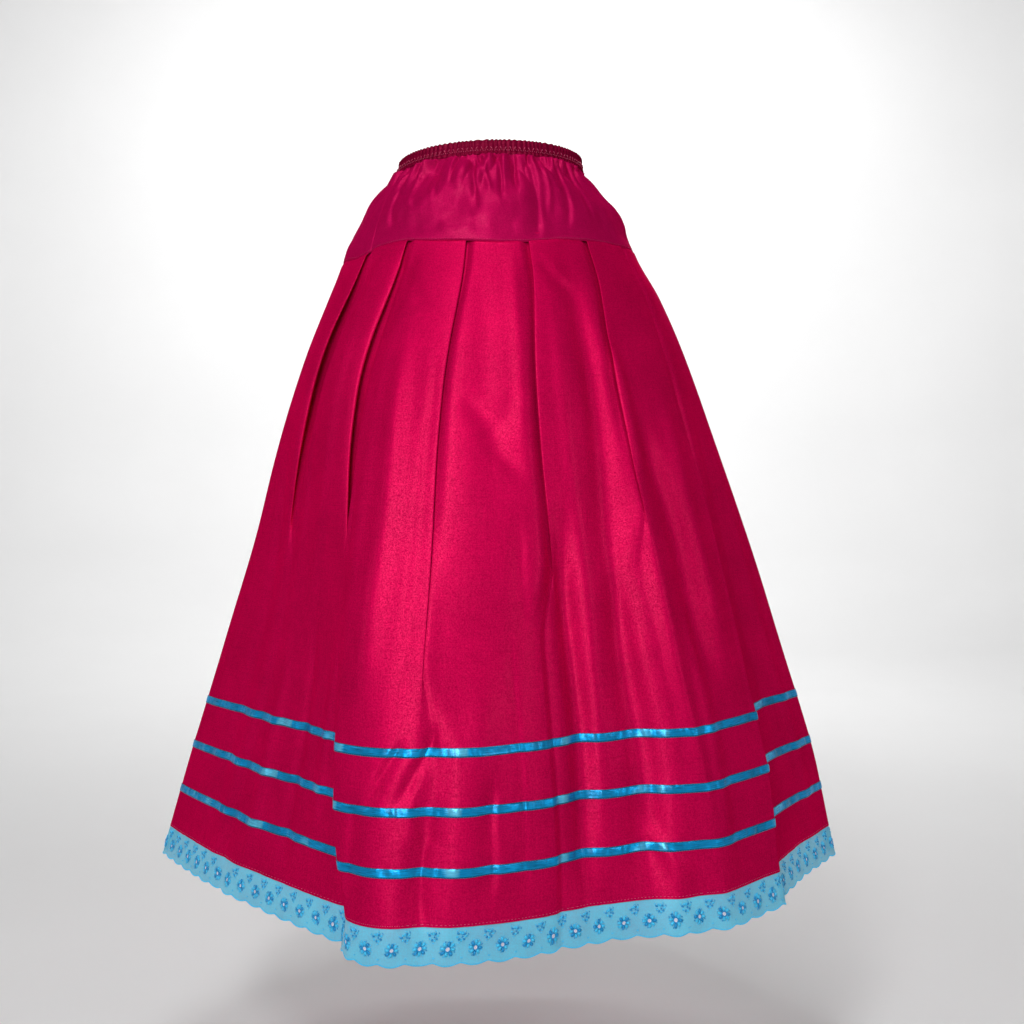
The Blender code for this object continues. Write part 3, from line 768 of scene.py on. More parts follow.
def satin_cloth(name, deep, bright, roughness=(0.44, 0.60), metallic=0.50):
    """Closely woven satin cloth with glints, partly painted into its colour, slow clouds of tone and a fine
    crush.
    """
    material, tree, shader, place = new_material(name)
    mottle = pattern(tree, "Satin mottle", place["Object"])
    weave = pattern(tree, "Plain weave", place["UV"], Slub=0.6)
    # The fine glint noise lightens the colour, besides making the cloth shinier: painted glints over a fine
    # random grain
    tone = calc(tree, "MULTIPLY", mottle["Glint"], 0.42)
    tone = calc(tree, "MULTIPLY_ADD", mottle["Cloud"], 0.20, tone)
    tone = calc(tree, "MULTIPLY_ADD", weave["Tone"], 0.70, tone)
    crushed = bumped(tree, mottle["Crush"], 0.35, 0.0010)
    facing = add_node(tree, "LayerWeight", {"Blend": 0.35})["Facing"]
    inputs = {
        "Base Color": mixed(tree, remap(tree, tone, 0.34, 1.10), deep, bright),
        "Roughness": remap(tree, mottle["Glint"], 0.0, 1.0, roughness[1], roughness[0]),
        "Metallic": remap(tree, facing, 0.25, 1.0, metallic, 0.12),
        "Normal": bumped(tree, weave["Height"], 0.25, 0.0002, crushed),
        "Specular IOR Level": 0.0,
        "Specular Tint": (1.0, 0.06, 0.24, 1.0),
        "Coat Weight": calc(tree, "MULTIPLY", remap(tree, facing, 0.0, 0.5, 0.15, 0.0), mottle["Glint"]),
        "Coat Roughness": 0.36,
        "Sheen Weight": 0.06,
        "Sheen Roughness": 0.35,
        "Sheen Tint": (1.0, 0.02, 0.20, 1.0),
    }
    feed(shader, inputs)
    return material


# Half the ribbon's width, and the distances from its middle between which the selvedge darkens: a darker edge
# with painted contact shadow along it
RIBBON_MIDDLE = 0.005
SELVEDGE_AND_SHADOW = (0.0037, 0.0044)


def ribbon_satin(name, deep, bright, pale=(1.0, 1.0, 1.0)):
    """Glossy ribbon with lengthwise threads, patches of painted sheen with painted shade between them, and
    selvedges darkened by a darker edge and painted contact shadow.
    """
    material, tree, shader, place = new_material(name)
    lines = pattern(tree, "Lying threads", place["UV"], Along=60.0, Across=2600.0)
    down = add_node(tree, "SeparateXYZ", {0: place["UV"]})[1]
    side = calc(tree, "ABSOLUTE", calc(tree, "ADD", down, RIBBON_MIDDLE))
    waves = add_node(tree, "Mapping", {0: place["UV"], "Scale": (20.0, 11.0, 1.0)})[0]
    wave = noise(tree, waves, 1.0, 3.0, Roughness=0.5)
    # Darker towards both edges: the selvedge's own darker colour and painted contact shadow
    inside = remap(tree, side, *SELVEDGE_AND_SHADOW, 1.0, 0.0)
    tone = calc(tree, "MULTIPLY", remap(tree, lines["Tone"], 0.0, 1.0, 0.35, 1.0), inside)
    # The slow wave darkens the colour where it is low: painted shade between the sheen patches
    tone = calc(tree, "MULTIPLY", tone, remap(tree, wave, 0.36, 0.52, 0.45))
    # Where the wave is high the colour turns to the light sheen colour: painted highlight patches
    patch = calc(tree, "MULTIPLY", remap(tree, wave, 0.55, 0.62), tone)
    inputs = {
        "Base Color": mixed(tree, patch, mixed(tree, tone, deep, bright), pale),
        "Roughness": remap(tree, lines["Tone"], 0.0, 1.0, 0.26, 0.38),
        "Metallic": 0.6,
        "Normal": bumped(tree, lines["Height"], 0.3, 0.0003, bumped(tree, wave, 1.0, 0.012)),
        "Specular IOR Level": 0.2,
        "Specular Tint": (0.45, 0.85, 1.0, 1.0),
        "Coat Weight": 0.3,
        "Coat Roughness": 0.24,
    }
    feed(shader, inputs)
    return material


def lace_ground(name, deep, bright):
    """Fine net, a little see-through, with random darker clouds painted in as the shade of its folds and
    lighter painted glints.
    """
    material, tree, shader, place = new_material(name)
    mottle = pattern(tree, "Satin mottle", place["Object"], Fine=600.0, Broad=22.0)
    weave = pattern(tree, "Plain weave", place["UV"], Threads=5200.0, Slub=0.5)
    # Random darker clouds stand in for the shade of the net's folds, and the glint noise lightens the colour:
    # painted shade and painted glints
    tone = calc(tree, "MULTIPLY", mottle["Cloud"], 0.5)
    tone = calc(tree, "MULTIPLY_ADD", mottle["Glint"], 0.4, tone)
    inputs = {
        "Base Color": mixed(tree, tone, deep, bright),
        "Roughness": remap(tree, mottle["Glint"], 0.0, 1.0, 0.55, 0.42),
        "Alpha": remap(tree, weave["Height"], 0.2, 0.9, 0.86, 0.98),
        "Normal": bumped(tree, weave["Height"], 0.3, 0.0002),
        "Specular IOR Level": 0.6,
        "Sheen Weight": 0.1,
    }
    feed(shader, inputs)
    return material


def thread(name, deep, bright):
    """Rayon embroidery and sewing thread."""
    material, tree, shader, place = new_material(name)
    lines = pattern(tree, "Lying threads", place["Object"], Along=900.0, Across=2400.0)
    inputs = {
        "Base Color": mixed(tree, lines["Tone"], deep, bright),
        "Roughness": remap(tree, lines["Tone"], 0.0, 1.0, 0.42, 0.28),
        "Normal": bumped(tree, lines["Height"], 0.4, 0.0003),
        "Specular IOR Level": 0.4,
    }
    feed(shader, inputs)
    return material


def matt_floor(name, deep, bright):
    """A plain floor with faint slow clouds."""
    material, tree, shader, place = new_material(name)
    mottle = pattern(tree, "Satin mottle", place["Object"], Fine=40.0, Broad=0.8)
    colour = mixed(tree, mottle["Cloud"], deep, bright)
    feed(shader, {"Base Color": colour, "Roughness": 0.8, "Specular IOR Level": 0.2})
    return material


# Each material's maker, its deep and its bright tone, and what else the maker takes. A tone is one of the
# skirt's colours with a factor, or a colour of its own.
Look = namedtuple("Look", "make deep bright more", defaults=((),))
LOOKS = {
    "pink_satin_cloth": Look(satin_cloth, ("cloth", 0.74), ("cloth", 1.30)),
    # The yoke is the same cloth as the pleats, given a darker, more purplish colour: painted shade for how the
    # light falls on it
    "pink_yoke_cloth": Look(
        satin_cloth, ("yoke", 0.80), ("yoke", 1.22), {"roughness": (0.46, 0.60), "metallic": 0.45}
    ),
    "pink_ruched_cloth": Look(
        satin_cloth, ("band", 0.75), ("band", 1.3), {"roughness": (0.42, 0.56), "metallic": 0.4}
    ),
    "pink_thread": Look(thread, ("cloth", 0.9), ("stitches", 0.9)),
    # Thread for the hip stitches: its deep tone is painted shade for the dark line along the hip seam, mixed
    # with the lighter thread colour
    "deep_pink_thread": Look(thread, ("cloth", 0.30), ("stitches", 0.8)),
    "pale_pink_thread": Look(thread, ("stitches", 0.8), ("stitches", 1.2)),
    # The ribbon's colour carries painted sheen patches, painted shade between them and painted contact shadow
    # at its edges
    "turquoise_satin": Look(ribbon_satin, ("ribbon", 0.36), ("ribbon", 1.35), {"pale": (0.18, 0.74, 1.0)}),
    "pale_blue_thread": Look(thread, ("ribbon", 0.6), (0.16, 0.48, 0.68)),
    "pale_blue_net": Look(lace_ground, (0.13, 0.46, 0.70), ("lace", 1.2)),
    # Lit and shaded copies of one embroidery thread: painted light and shade for satin stitches that face
    # different ways
    "bright_blue_thread": Look(thread, ("embroidery", 1.4), (0.12, 0.75, 1.0)),
    "deep_blue_thread": Look(thread, (0.003, 0.22, 0.54), (0.012, 0.42, 0.86)),
    "pale_eyelet_thread": Look(thread, (0.62, 0.56, 0.66), (0.88, 0.84, 0.92)),
    "pale_floor": Look(matt_floor, (0.88, 0.88, 0.88), (0.91, 0.91, 0.91)),
}
EMBROIDERY = ("bright_blue_thread", "deep_blue_thread", "pale_eyelet_thread")


def shade(tone):
    """A tone of LOOKS as a colour."""
    if isinstance(tone[0], str):
        return tuple(min(1.0, part * tone[1]) for part in getattr(bpy.context.scene.skirt_colours, tone[0]))
    return tone


def look(name):
    """A piece's material, which is made when it is first asked for."""
    row = LOOKS[name]
    made = bpy.data.materials.get(name)
    return made or row.make(name, shade(row.deep), shade(row.bright), **dict(row.more))


def ruche(angle, count):
    """Height of the band's fine ruches, 0 to 1, uneven round the ring."""
    phase = angle / 360 * count + 0.84 * round_noise(angle, 33, 0.5, 3)
    ridge = 0.5 + 0.5 * np.cos(2 * np.pi * phase)
    return ridge**0.8 * (0.75 + 0.25 * round_noise(phase * 360 / count, count, 0.5, 4))


# The casing's section: height, distance off the form, and how much of the ruches shows there
CASING = (
    (-0.0100, 0.0000, 0.3),
    (-0.0099, 0.0003, 0.6),
    (-0.0090, 0.0007, 1.0),
    (-0.0072, 0.0013, 1.0),
    (-0.0056, 0.0014, 0.7),
    (-0.0044, 0.0008, 0.35),
    (-0.0028, 0.0015, 0.7),
    (-0.0008, 0.0019, 1.0),
    (0.0018, 0.0016, 0.8),
    (0.0036, 0.0013, 0.5),
    (0.0054, 0.0016, 0.8),
    (0.0074, 0.0019, 1.0),
    (0.0092, 0.0018, 1.0),
    (0.0100, 0.0010, 0.8),
    (0.0102, 0.0002, 0.6),
    (0.0099, -0.0007, 0.4),
    (0.0088, -0.0011, 0.4),
    (0.0050, -0.0012, 0.5),
    (0.0000, -0.0012, 0.5),
    (-0.0050, -0.0012, 0.5),
    (-0.0090, -0.0011, 0.4),
    (-0.0099, -0.0005, 0.3),
    (-0.0100, 0.0000, 0.3),
)
CASING_OUTSIDE = slice(1, 13)
RUCHE_DEPTH, TOOTH = 0.0018, 0.0013


def band_patch(sizes):
    angle = np.linspace(-180, 180, sizes.ruches * 8 + 1)
    rows = []
    for height, offset, shown in CASING:
        lean = angle + 900.0 * (height - BAND_BOTTOM) * 0.10
        ridge = ruche(lean - lean[0] - 180, sizes.ruches)
        up = TOOTH * ridge * ease((height - 0.004) / 0.005)
        side = 1.0 if offset > 0 else -0.5
        rows.append(on_form(height + up, angle, offset + side * RUCHE_DEPTH * shown * (ridge - 0.5)))
        rows[-1][-1] = rows[-1][0]
    return Patch(rows[::-1])


def puffs(angle, cells, y, seed):
    """Round puffs of cloth with sharp little valleys between them."""
    return 1.6 * np.abs(round_noise(angle, cells, y, seed)) ** 0.65 - 0.6


def yoke_row(height, angle):
    below = BAND_BOTTOM - height
    offset = 0.0080 * math.exp(-max(below, 0) / 0.018) * puffs(angle, 88, height / 0.04, 11)
    offset += 0.0075 * math.exp(-((below / 0.032) ** 2)) * puffs(angle, 48, height / 0.07, 12)
    offset += 0.0046 * math.exp(-((below / 0.080) ** 2)) * round_noise(angle, 46, height / 0.05, 13)
    offset += 0.0050 * round_noise(angle, 29, height / 0.042, 14)
    offset += 0.0013 * round_noise(angle, 90, height / 0.020, 15)
    offset += 1.7 * crease_depth(YOKE_FOLDS, height, angle)
    offset *= ease((below + 0.0012) / 0.0035) * between(0.30, 1.0, ease((height - HIP) / 0.026))
    offset = np.maximum(offset, -0.0012 - 0.30 * max(below, 0))
    seam_dip = 0.0022 * math.exp(-(((height - HIP) / 0.0014) ** 2))
    stitch_dip = 0.0003 * math.exp(-(((height - HIP - HIP_STITCHES) / 0.0012) ** 2))
    return offset - seam_dip - stitch_dip


YOKE_ROWS, YOKE_COLUMNS = 48, 420


def yoke_patches():
    """Front and back of the yoke, with the edges at the side seams turned in."""
    heights = [BAND_BOTTOM + 0.0015, BAND_BOTTOM, BAND_BOTTOM - 0.0015, BAND_BOTTOM - 0.003]
    heights += list(np.linspace(BAND_BOTTOM - 0.006, HIP + 0.008, YOKE_ROWS))
    heights += [HIP + 0.0060, HIP + 0.0045, HIP + HIP_STITCHES, HIP + 0.0020, HIP + 0.0010, HIP]
    patches = []
    for side in range(2):
        rows = []
        for height in heights:
            share = (BAND_BOTTOM - height) / (BAND_BOTTOM - HIP)
            seams = [between(top, low, share) for top, low in YOKE_SEAMS]
            first, last = (seams[0], seams[1]) if side == 0 else (seams[1], seams[0] + 360)
            edge = np.array([0, 0.02, 0.05, 0.09, 0.15, 0.3])
            middle = np.linspace(first + 0.6, last - 0.6, YOKE_COLUMNS)
            angle = np.concatenate([first + edge, middle, last - edge[::-1]])
            near = np.minimum(angle - first, last - angle)
            offset = yoke_row(height, angle) - 0.0008 * np.exp(-((near / 0.16) ** 2))
            rows.append(on_form(height, angle, offset))
        patches.append(Patch(rows))
    return patches


def skirt_heights():
    """Rows of the pleated cloth, close together where something is sewn on."""
    tuck, press = (0.0120, 0.0080, 0.0045, 0.0020), (0.0008, 0.0016, 0.0026, 0.0040)
    heights = [HIP + up for up in tuck] + [HIP] + [HIP - down for down in press]
    for height in np.arange(HIP - 0.0065, HEM + 0.005, -0.0031):
        near = any(abs(height - ribbon) < 0.011 for ribbon in RIBBON_HEIGHTS.values())
        if near or heights[-1] - height > 0.0060:
            heights.append(height)
    heights += [HEM + 0.0035, HEM + 0.0015, HEM, HEM - 0.0008]
    return heights


def skirt_patches(strength):
    rows = [halves(pleated_row(height, strength)[0]) for height in skirt_heights()]
    return [Patch([row[side] for row in rows]) for side in range(2)]


def ribbon_patch(height, width):
    """One ribbon all round, with crosswise crinkles that are finer than the cloth's."""
    across = np.array([0.5, 0.44, 0.33, 0.17, 0.0, -0.17, -0.33, -0.44, -0.5]) * width
    stand = np.array([0.0003, 0.0008, 0.0009, 0.0010, 0.0010, 0.0010, 0.0009, 0.0008, 0.0003])
    rows, angles = [], None
    for offset in across:
        row, angles = pleated_row(height + offset, 1.0, 3)
        rows.append(row)
    rows = [np.concatenate([row, row[:1]]) for row in rows]
    angles = np.append(angles, angles[0] + 360)
    patch = Patch(rows)
    crinkle = 0.00030 * round_noise(angles, 580, 0.5, int(-height * 1000))
    crinkle = crinkle + 0.00070 * round_noise(angles, 190, 0.5, int(-height * 990))
    skew = round_noise(angles[None, :] + 2.4 * across[:, None] / width, 450, 0.5, 77)
    inside = ease((0.5 - np.abs(across / width)) / 0.2)[:, None]
    lift = stand[:, None] + inside * (crinkle[None, :] + 0.00012 * skew)
    lift[:, -1] = lift[:, 0]
    moved = patch.points + patch.normals() * np.maximum(lift, 0.0003)[:, :, None]
    moved[:, -1] = moved[:, 0]
    return Patch(moved)


LACE_ROWS = 15


def lace_patches():
    """The lace's two halves without their scallops, tucked a little way up behind the hem."""
    rows = []
    for height in np.linspace(HEM + 0.0025, LACE_END, LACE_ROWS):
        row, _ = pleated_row(height, 1.0)
        rows.append(halves(row))
    patches = []
    for side in range(2):
        patch = Patch([row[side] for row in rows])
        behind = [-0.0008] * 2 + [-0.0004] + [0.0] * (LACE_ROWS - 3)
        patches.append(patch.moved_out(behind))
    return patches


def scallop(share_round, depth):
    """How far down the edging reaches, 1 at the middle of a scallop."""
    wave = np.sqrt(np.sin(np.pi * share_round) ** 2 + 0.03) / math.sqrt(1.03)
    return 1 - depth * (1 - wave)


def spin_round(shape, parts, steps):
    """Turn a section once round the upright axis."""
    turn = 2 * math.pi
    bmesh.ops.spin(
        shape, geom=parts, cent=(0, 0, 0), axis=(0, 0, 1), angle=turn, steps=steps, use_merge=True
    )


# The flower's petals and the strokes beyond them: distance, (length, width, height), and each one's tone: 1
# for the shaded copy of the thread and 0 for the lit copy, painted light and shade for satin stitches that
# face different ways
LONG_REACH, SHORT_REACH, PETAL = 0.0050, 0.0046, (0.0056, 0.0038, 0.0012)
STROKE_REACH, STROKE = 0.0071, (0.0022, 0.0012, 0.0008)
PETAL_SHADED, STROKE_SHADED = (0, 1, 0, 0, 1, 0, 1, 0), (1, 0, 0, 1, 0, 0, 1, 0)
# The eyelet's ring and the disc inside it
RING_RADIUS, RING_THICK, DISC_RADIUS = 0.0023, 0.00055, 0.0022


def flower():
    """Eight satin petals round an eyelet in lit and shaded copies of one thread, painted light and shade: tone
    0 and 1, the eyelet's ring 1, its middle 2.
    """
    shape = bmesh.new()
    for number in range(8):
        turn = math.radians(45 * number)
        reach = SHORT_REACH if number % 2 else LONG_REACH
        at = (reach * math.cos(turn), reach * math.sin(turn), 0.0004)
        oval(*PETAL, at, turn, shape, PETAL_SHADED[number])
        at = (STROKE_REACH * math.cos(turn + 0.3), STROKE_REACH * math.sin(turn + 0.3), 0.0003)
        oval(*STROKE, at, turn + 0.5, shape, STROKE_SHADED[number])
    upright = Matrix.Translation((RING_RADIUS, 0, 0.0006)) @ Matrix.Rotation(math.pi / 2, 4, "X")
    ring = bmesh.ops.create_circle(shape, segments=6, radius=RING_THICK, matrix=upright)["verts"]
    done = len(shape.faces)
    edges = list(dict.fromkeys(edge for vert in ring for edge in vert.link_edges))
    spin_round(shape, ring + edges, 12)
    for face in list(shape.faces)[done:]:
        face.material_index = 1
    done = len(shape.faces)
    flat = Matrix.Translation((0, 0, 0.0007))
    bmesh.ops.create_circle(shape, cap_ends=True, segments=10, radius=DISC_RADIUS, matrix=flat)
    disc = list(shape.faces)[done:]
    for face in disc:
        face.material_index = 2
    bmesh.ops.recalc_face_normals(shape, faces=disc)
    return shape


# Angle from the sheet's length, distance from the middle, length, and tone of a sprig's petals: 0 for the lit
# copy of the thread and 1 for the shaded copy, painted light and shade
SPRIG_PETALS = (
    (-90, 0.0030, 0.0040, 0),
    (-55, 0.0036, 0.0034, 1),
    (-125, 0.0036, 0.0034, 0),
    (-20, 0.0042, 0.0036, 0),
    (-160, 0.0042, 0.0036, 1),
    (25, 0.0036, 0.0028, 1),
    (155, 0.0038, 0.0028, 0),
    (70, 0.0034, 0.0030, 0),
    (110, 0.0032, 0.0032, 1),
    (0, 0.0010, 0.0022, 1),
    (90, 0.0058, 0.0014, 0),
    (-70, 0.0060, 0.0013, 0),
    (-35, 0.0066, 0.0012, 1),
    (-150, 0.0068, 0.0012, 0),
)


def sprig():
    """A loose spray of thin petals and dots."""
    shape = bmesh.new()
    for turn, reach, long, tone in SPRIG_PETALS:
        turn = math.radians(turn)
        at = (reach * math.cos(turn), reach * math.sin(turn), 0.0003)
        oval(long, 0.0023, 0.0011, at, turn, shape, tone)
    return shape


def colour_property(name, description, default):
    return FloatVectorProperty(
        name=name, description=description, subtype="COLOR", min=0, max=1, default=default
    )


def number_property(name, description, default, low, high, **kind):
    make = IntProperty if isinstance(default, int) else FloatProperty
    return make(name=name, description=description, default=default, min=low, max=high, **kind)


class SkirtColours(bpy.types.PropertyGroup):
    cloth: colour_property("Pleated cloth", "Colour of the pleated cloth", (0.58, 0.0006, 0.071))
    # A darker, more purplish copy of the pleated cloth's colour: painted shade for how the light falls on the
    # yoke
    yoke: colour_property("Yoke cloth", "Colour of the yoke's cloth", (0.47, 0.002, 0.077))
    band: colour_property("Waistband cloth", "Colour of the ruched band", (0.19, 0.001, 0.026))
    ribbon: colour_property("Ribbon", "Colour of the satin ribbons", (0.002, 0.33, 0.72))
    lace: colour_property("Lace ground", "Colour of the edging's net", (0.075, 0.60, 1.0))
    # The lit copy of the flowers' thread; its shaded copy, painted shade, is a fixed colour among the looks
    embroidery: colour_property("Embroidery", "Brighter thread of the flowers", (0.006, 0.36, 0.76))
    stitches: colour_property("Sewing thread", "Colour of the topstitching", (0.60, 0.10, 0.22))


class SkirtSizes(bpy.types.PropertyGroup):
    ruches: number_property("Ruches", "Fine ruches round the waistband", 118, 60, 180)
    creases: number_property("Creases", "Strength of the soft creases", 1.0, 0.0, 1.5, subtype="FACTOR")
    ribbon_width: number_property("Ribbon width", "Width of each ribbon", 0.010, 0.006, 0.014, unit="LENGTH")
    scallops: number_property("Scallops", "Scallops on each half of the edging", 48, 30, 60)
    scallop_depth: number_property(
        "Scallop depth",
        "Share of the edging's depth that the scallops take",
        0.085,
        0.05,
        0.2,
        subtype="FACTOR",
    )
    stitch_pitch: number_property(
        "Stitch pitch", "From one topstitch to the next", 0.0036, 0.002, 0.006, unit="LENGTH"
    )


class SkirtStage(bpy.types.PropertyGroup):
    floor_height: number_property(
        "Floor height", "Height of the floor below the waist", -1.25, -1.4, -1.0, unit="LENGTH"
    )
    lens: number_property("Lens", "Focal length of the camera in millimetres", 41.06, 20, 120)
    light: number_property("Light", "Strength of the studio lights", 1.0, 0.2, 3.0, subtype="FACTOR")


def sewn(name, unit, places, materials, patch):
    """Lay copies of a unit shape on a patch as one piece."""
    data = copies(name, unit, places, [look(material) for material in materials])
    finished(name, lay(data, patch))


# The band's rows of zigzag: height, stitches to a ruche, length, thickness; and their slant
BAND_ZIGZAGS = ((-0.0044, 2, 0.0036, 0.0009), (-0.0012, 1, 0.0046, 0.0013))
ZIGZAG_SLANT = 0.95


class SKIRT_OT_waistband(bpy.types.Operator):
    """Build the ruched elastic waistband and its zigzag stitching"""

    bl_idname = "skirt.waistband"
    bl_label = "Waistband"

    def execute(self, context):
        sizes = context.scene.skirt_sizes
        patch = band_patch(sizes)
        data = cloth_mesh("waistband_ruched", patch, look("pink_ruched_cloth"), joined=True)
        band = finished("waistband_ruched", data, ["waistband"])
        outside = Patch(patch.points[::-1][CASING_OUTSIDE][::-1])
        depth, girth = outside.down[-1], outside.along[-1]
        bottom, *_, top = (row[0] for row in CASING[CASING_OUTSIDE])
        places = []
        for height, count, long, thick in BAND_ZIGZAGS:
            down = depth * (top - height) / (top - bottom)
            pitch = girth / (count * sizes.ruches)
            places += stitches(girth, down, 0.0005, pitch, long, thick, ZIGZAG_SLANT)
        sewn("waistband_stitches", oval(), places, ["pink_thread"], outside)
        return {"FINISHED"}


class SKIRT_OT_yoke(bpy.types.Operator):
    """Build the gathered hip yoke with its side seams and the topstitching above the pleats"""

    bl_idname = "skirt.yoke"
    bl_label = "Yoke"

    def execute(self, context):
        pitch = context.scene.skirt_sizes.stitch_pitch * 0.8
        for side, patch in zip(SIDES, yoke_patches()):
            data = cloth_mesh(f"yoke_{side}_gathered", patch, look("pink_yoke_cloth"))
            yoke = finished(f"yoke_{side}_gathered", data, [f"yoke_{side}"])
            down = patch.down[-1] - HIP_STITCHES
            places = stitches(patch.along[-1], down, 0.0, pitch, pitch * 0.5, 0.0005)
            # The hip stitches are darkened: painted shade along the seam's line
            sewn(f"hip_stitches_{side}", oval(), places, ["deep_pink_thread"], patch)
        return {"FINISHED"}


class SKIRT_OT_pleats(bpy.types.Operator):
    """Build the knife-pleated skirt, front and back, and the line of stitches along its hem"""

    bl_idname = "skirt.pleats"
    bl_label = "Pleated skirt"

    def execute(self, context):
        sizes = context.scene.skirt_sizes
        pitch = sizes.stitch_pitch
        for side, patch in zip(SIDES, skirt_patches(sizes.creases)):
            data = cloth_mesh(f"skirt_{side}_pleated", patch, look("pink_satin_cloth"))
            skirt = finished(f"skirt_{side}_pleated", data, [f"skirt_{side}"])
            down = patch.down[-1] - HEM_STITCHES
            places = stitches(patch.along[-1], down, 0.0001, pitch, pitch * 0.55, 0.0006)
            sewn(f"hem_stitches_{side}", oval(), places, ["pale_pink_thread"], patch)
        return {"FINISHED"}


class SKIRT_OT_ribbons(bpy.types.Operator):
    """Build the three satin ribbons and the stitches along their edges"""

    bl_idname = "skirt.ribbons"
    bl_label = "Ribbons"

    def execute(self, context):
        sizes = context.scene.skirt_sizes
        pitch = sizes.stitch_pitch * 0.85
        for name, height in RIBBON_HEIGHTS.items():
            patch = ribbon_patch(height, sizes.ribbon_width)
            data = cloth_mesh(f"{name}_satin", patch, look("turquoise_satin"), joined=True)
            ribbon = finished(f"{name}_satin", data, [name])
            places = []
            for down in (RIBBON_STITCHES, patch.down[-1] - RIBBON_STITCHES):
                places += stitches(patch.along[-1], down, 0.0, pitch, pitch * 0.45, 0.00035)
            sewn(f"{name}_stitches", oval(), places, ["pale_blue_thread"], patch)
        return {"FINISHED"}


# How far down the lace's depth the flowers, sprigs and leaves stand, and a leaf's lean and size
FLOWER_DOWN, SPRIG_DOWN, LEAF_DOWN = 0.585, 0.30, 0.80
LEAF_LEAN, LEAF = 0.9, (0.0026, 0.0011, 0.0008)


def embroidery(count, pitch, depth):
    """The places of the flowers, the sprigs between them and the leaves below those, with random turns."""
    flowers, sprigs, leaves = [], [], []
    for number in range(count):
        x = (number + 0.5) * pitch
        turn = math.radians(45 * random.randrange(8)) + random.uniform(-0.15, 0.15)
        size = random.uniform(0.92, 1.06)
        flowers.append((x, depth * FLOWER_DOWN, 0, turn, size * 1.04, size * 1.16, 1.2))
        side_turn = random.uniform(-0.35, 0.35)
        sprigs.append((x + pitch / 2 - 0.001, depth * SPRIG_DOWN, 0, side_turn, size * 1.1, size * 1.1, 1.2))
        leaves.append((x + pitch / 2, depth * LEAF_DOWN, 0.0003, LEAF_LEAN, *LEAF))
        leaves.append((x + pitch / 2 + 0.0012, depth * LEAF_DOWN, 0.0003, -LEAF_LEAN, *LEAF))
    return flowers, sprigs[:-1], leaves[:-2]


# The edge's stitches: their pitch, their distance from the edge, and the step that gives their lean
EDGE_PITCH, EDGE_INSET, EDGE_STEP = 0.0011, 0.0007, 0.02


def edge_stitches(count, length, depth, scallop_depth):
    """The places of the close stitches that follow the scallops."""
    pitch, places = length / count, []
    for place in np.linspace(0.2, count - 0.2, int(length / EDGE_PITCH)):
        down = scallop(place, scallop_depth) * depth - EDGE_INSET
        ahead = scallop(place + EDGE_STEP, scallop_depth) * depth - EDGE_INSET
        lean = math.atan2(ahead - down, EDGE_STEP * pitch)
        places.append((place * pitch, down, 0.0, lean + math.pi / 2, 0.0019, 0.0013, 0.0011))
    return places


class SKIRT_OT_lace(bpy.types.Operator):
    """Build the scalloped lace edging and its embroidery"""

    bl_idname = "skirt.lace"
    bl_label = "Lace edging"

    def execute(self, context):
        sizes = context.scene.skirt_sizes
        count = sizes.scallops
        for side, full, seed in zip(SIDES, lace_patches(), (31, 32)):
            length, depth = full.along[-1], full.down[-1]
            share = np.linspace(0, count, count * 16 + 1)
            reach = scallop(share, sizes.scallop_depth) * depth
            rows = []
            for row in np.linspace(0, 1, LACE_ROWS):
                flat = np.stack([share / count * length, row * reach, np.zeros(len(share))], axis=1)
                rows.append(full.place(flat))
            data = cloth_mesh(f"lace_{side}_net", Patch(rows), look("pale_blue_net"))
            lace = finished(f"lace_{side}_net", data, [f"lace_{side}"])
            random.seed(seed)
            flowers, sprigs, leaves = embroidery(count, length / count, depth)
            sewn(f"flowers_{side}", flower(), flowers, EMBROIDERY, full)
            sewn(f"sprigs_{side}", sprig(), sprigs, EMBROIDERY, full)
            edge = edge_stitches(count, length, depth, sizes.scallop_depth)
            sewn(f"edging_{side}", oval(), edge + leaves, EMBROIDERY[:1], full)
        return {"FINISHED"}


# The floor's section, out from the middle: distance and height over the floor
FLOOR = ((0, 0), (4.0, 0), (5.0, 0.12), (5.9, 0.5), (6.6, 1.3), (7.0, 2.6), (7.2, 4.6), (7.2, 8.0))
FLOOR_STEPS = 96
# Name, place, what it points at, diameter and power
STUDIO_LIGHTS = (
    ("key", (-0.72, -2.35, 1.25), (0.0, 0.0, -0.5), 0.7, 22),
    ("low", (-0.40, -2.50, 0.10), (0.0, 0.0, -0.5), 0.7, 12),
    ("left", (-2.50, -1.20, 0.60), (0.0, 0.0, -0.5), 0.9, 4.4),
    ("right", (2.30, -2.00, 0.60), (0.0, 0.0, -0.5), 0.9, 8.5),
    ("top", (-0.20, -0.70, 2.30), (0.0, 0.0, -0.5), 1.2, 21),
    ("backdrop", (0.0, 3.6, 3.4), (0.0, 7.0, 0.2), 3.0, 190),
    ("back", (0.8, 3.0, 1.4), (0.0, 0.0, -0.5), 2.0, 24),
)
ROOM_LIGHT = 0.02
CAMERA_PLACE = (0.030, -1.65, -0.483)
SENSOR_WIDTH = 36.0


def floor_mesh(height):
    """A flat floor that rises into a bowl far from the skirt."""
    bowl = bmesh.new()
    verts = [bowl.verts.new((x, 0, height + z)) for x, z in FLOOR]
    edges = [bowl.edges.new(pair) for pair in zip(verts, verts[1:])]
    spin_round(bowl, verts + edges, FLOOR_STEPS)
    bmesh.ops.remove_doubles(bowl, verts=bowl.verts, dist=1e-5)
    bmesh.ops.recalc_face_normals(bowl, faces=bowl.faces)
    data = bpy.data.meshes.new("floor")
    bowl.to_mesh(data)
    bowl.free()
    data.shade_smooth()
    if sum(face.normal.z for face in data.polygons) < 0:
        data.flip_normals()
    data.materials.append(look("pale_floor"))
    return data


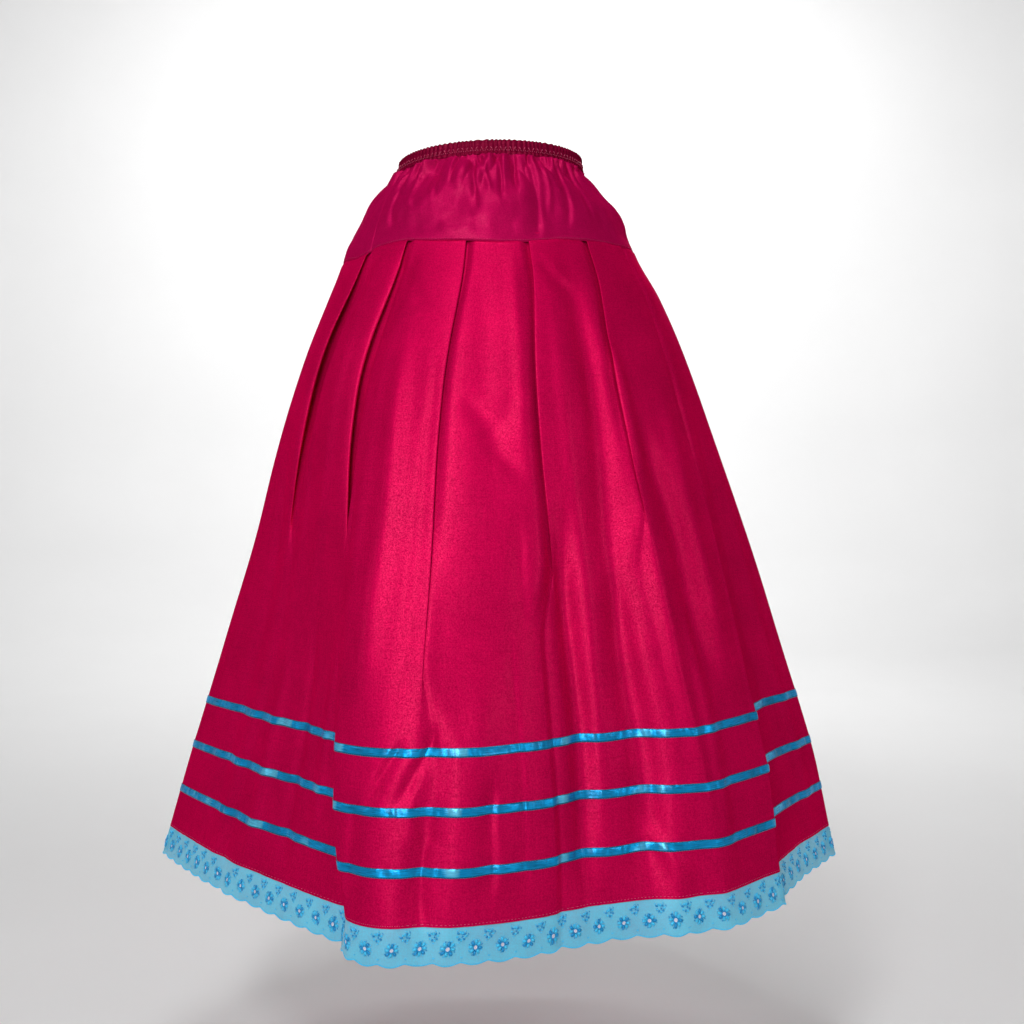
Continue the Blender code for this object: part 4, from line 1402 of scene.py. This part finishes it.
class SKIRT_OT_stage(bpy.types.Operator):
    """Build the floor, the lights and the camera"""

    bl_idname = "skirt.stage"
    bl_label = "Stage"

    def execute(self, context):
        stage, link = context.scene.skirt_stage, context.scene.collection.objects.link
        floor = bpy.data.objects.new("floor", floor_mesh(stage.floor_height))
        link(floor)
        for name, place, aim, size, power in STUDIO_LIGHTS:
            lamp = bpy.data.lights.new(name, "AREA")
            lamp.shape, lamp.size, lamp.energy = "DISK", size, power * stage.light
            light = bpy.data.objects.new(name, lamp)
            light.location = place
            light.rotation_euler = (Vector(aim) - Vector(place)).to_track_quat("-Z", "Y").to_euler()
            link(light)
        world = bpy.data.worlds.new("studio")
        world.use_nodes = True
        sky = {"Color": (1.0, 1.0, 1.0, 1.0), "Strength": ROOM_LIGHT * stage.light}
        feed(world.node_tree.nodes["Background"], sky)
        context.scene.world = world
        camera = bpy.data.objects.new("camera", bpy.data.cameras.new("camera"))
        camera.data.lens, camera.data.sensor_width = stage.lens, SENSOR_WIDTH
        camera.location = CAMERA_PLACE
        camera.rotation_euler = (math.pi / 2, 0, 0)
        link(camera)
        context.scene.camera = camera
        context.scene.view_settings.view_transform = "Standard"
        return {"FINISHED"}


class SKIRT_PT_panel(bpy.types.Panel):
    bl_idname = "SKIRT_PT_panel"
    bl_label = "Pleated dance skirt"
    bl_space_type = "VIEW_3D"
    bl_region_type = "UI"
    bl_category = "Skirt"

    def draw(self, context):
        for group in (context.scene.skirt_colours, context.scene.skirt_sizes, context.scene.skirt_stage):
            for name in group.__annotations__:
                self.layout.prop(group, name)
        for operator in OPERATORS:
            self.layout.operator(operator.bl_idname)


GROUPS = {"skirt_colours": SkirtColours, "skirt_sizes": SkirtSizes, "skirt_stage": SkirtStage}
OPERATORS = (
    SKIRT_OT_waistband,
    SKIRT_OT_yoke,
    SKIRT_OT_pleats,
    SKIRT_OT_ribbons,
    SKIRT_OT_lace,
    SKIRT_OT_stage,
)


def register():
    for item in (*GROUPS.values(), *OPERATORS, SKIRT_PT_panel):
        bpy.utils.register_class(item)
    for name, group in GROUPS.items():
        setattr(bpy.types.Scene, name, PointerProperty(type=group))


def unregister():
    for name in GROUPS:
        delattr(bpy.types.Scene, name)
    for item in reversed((*GROUPS.values(), *OPERATORS, SKIRT_PT_panel)):
        bpy.utils.unregister_class(item)


def main():
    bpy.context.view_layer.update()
    register()
    bpy.ops.skirt.waistband()
    bpy.ops.skirt.yoke()
    bpy.ops.skirt.pleats()
    bpy.ops.skirt.ribbons()
    bpy.ops.skirt.lace()
    bpy.ops.skirt.stage()


if __name__ == "__main__":
    main()
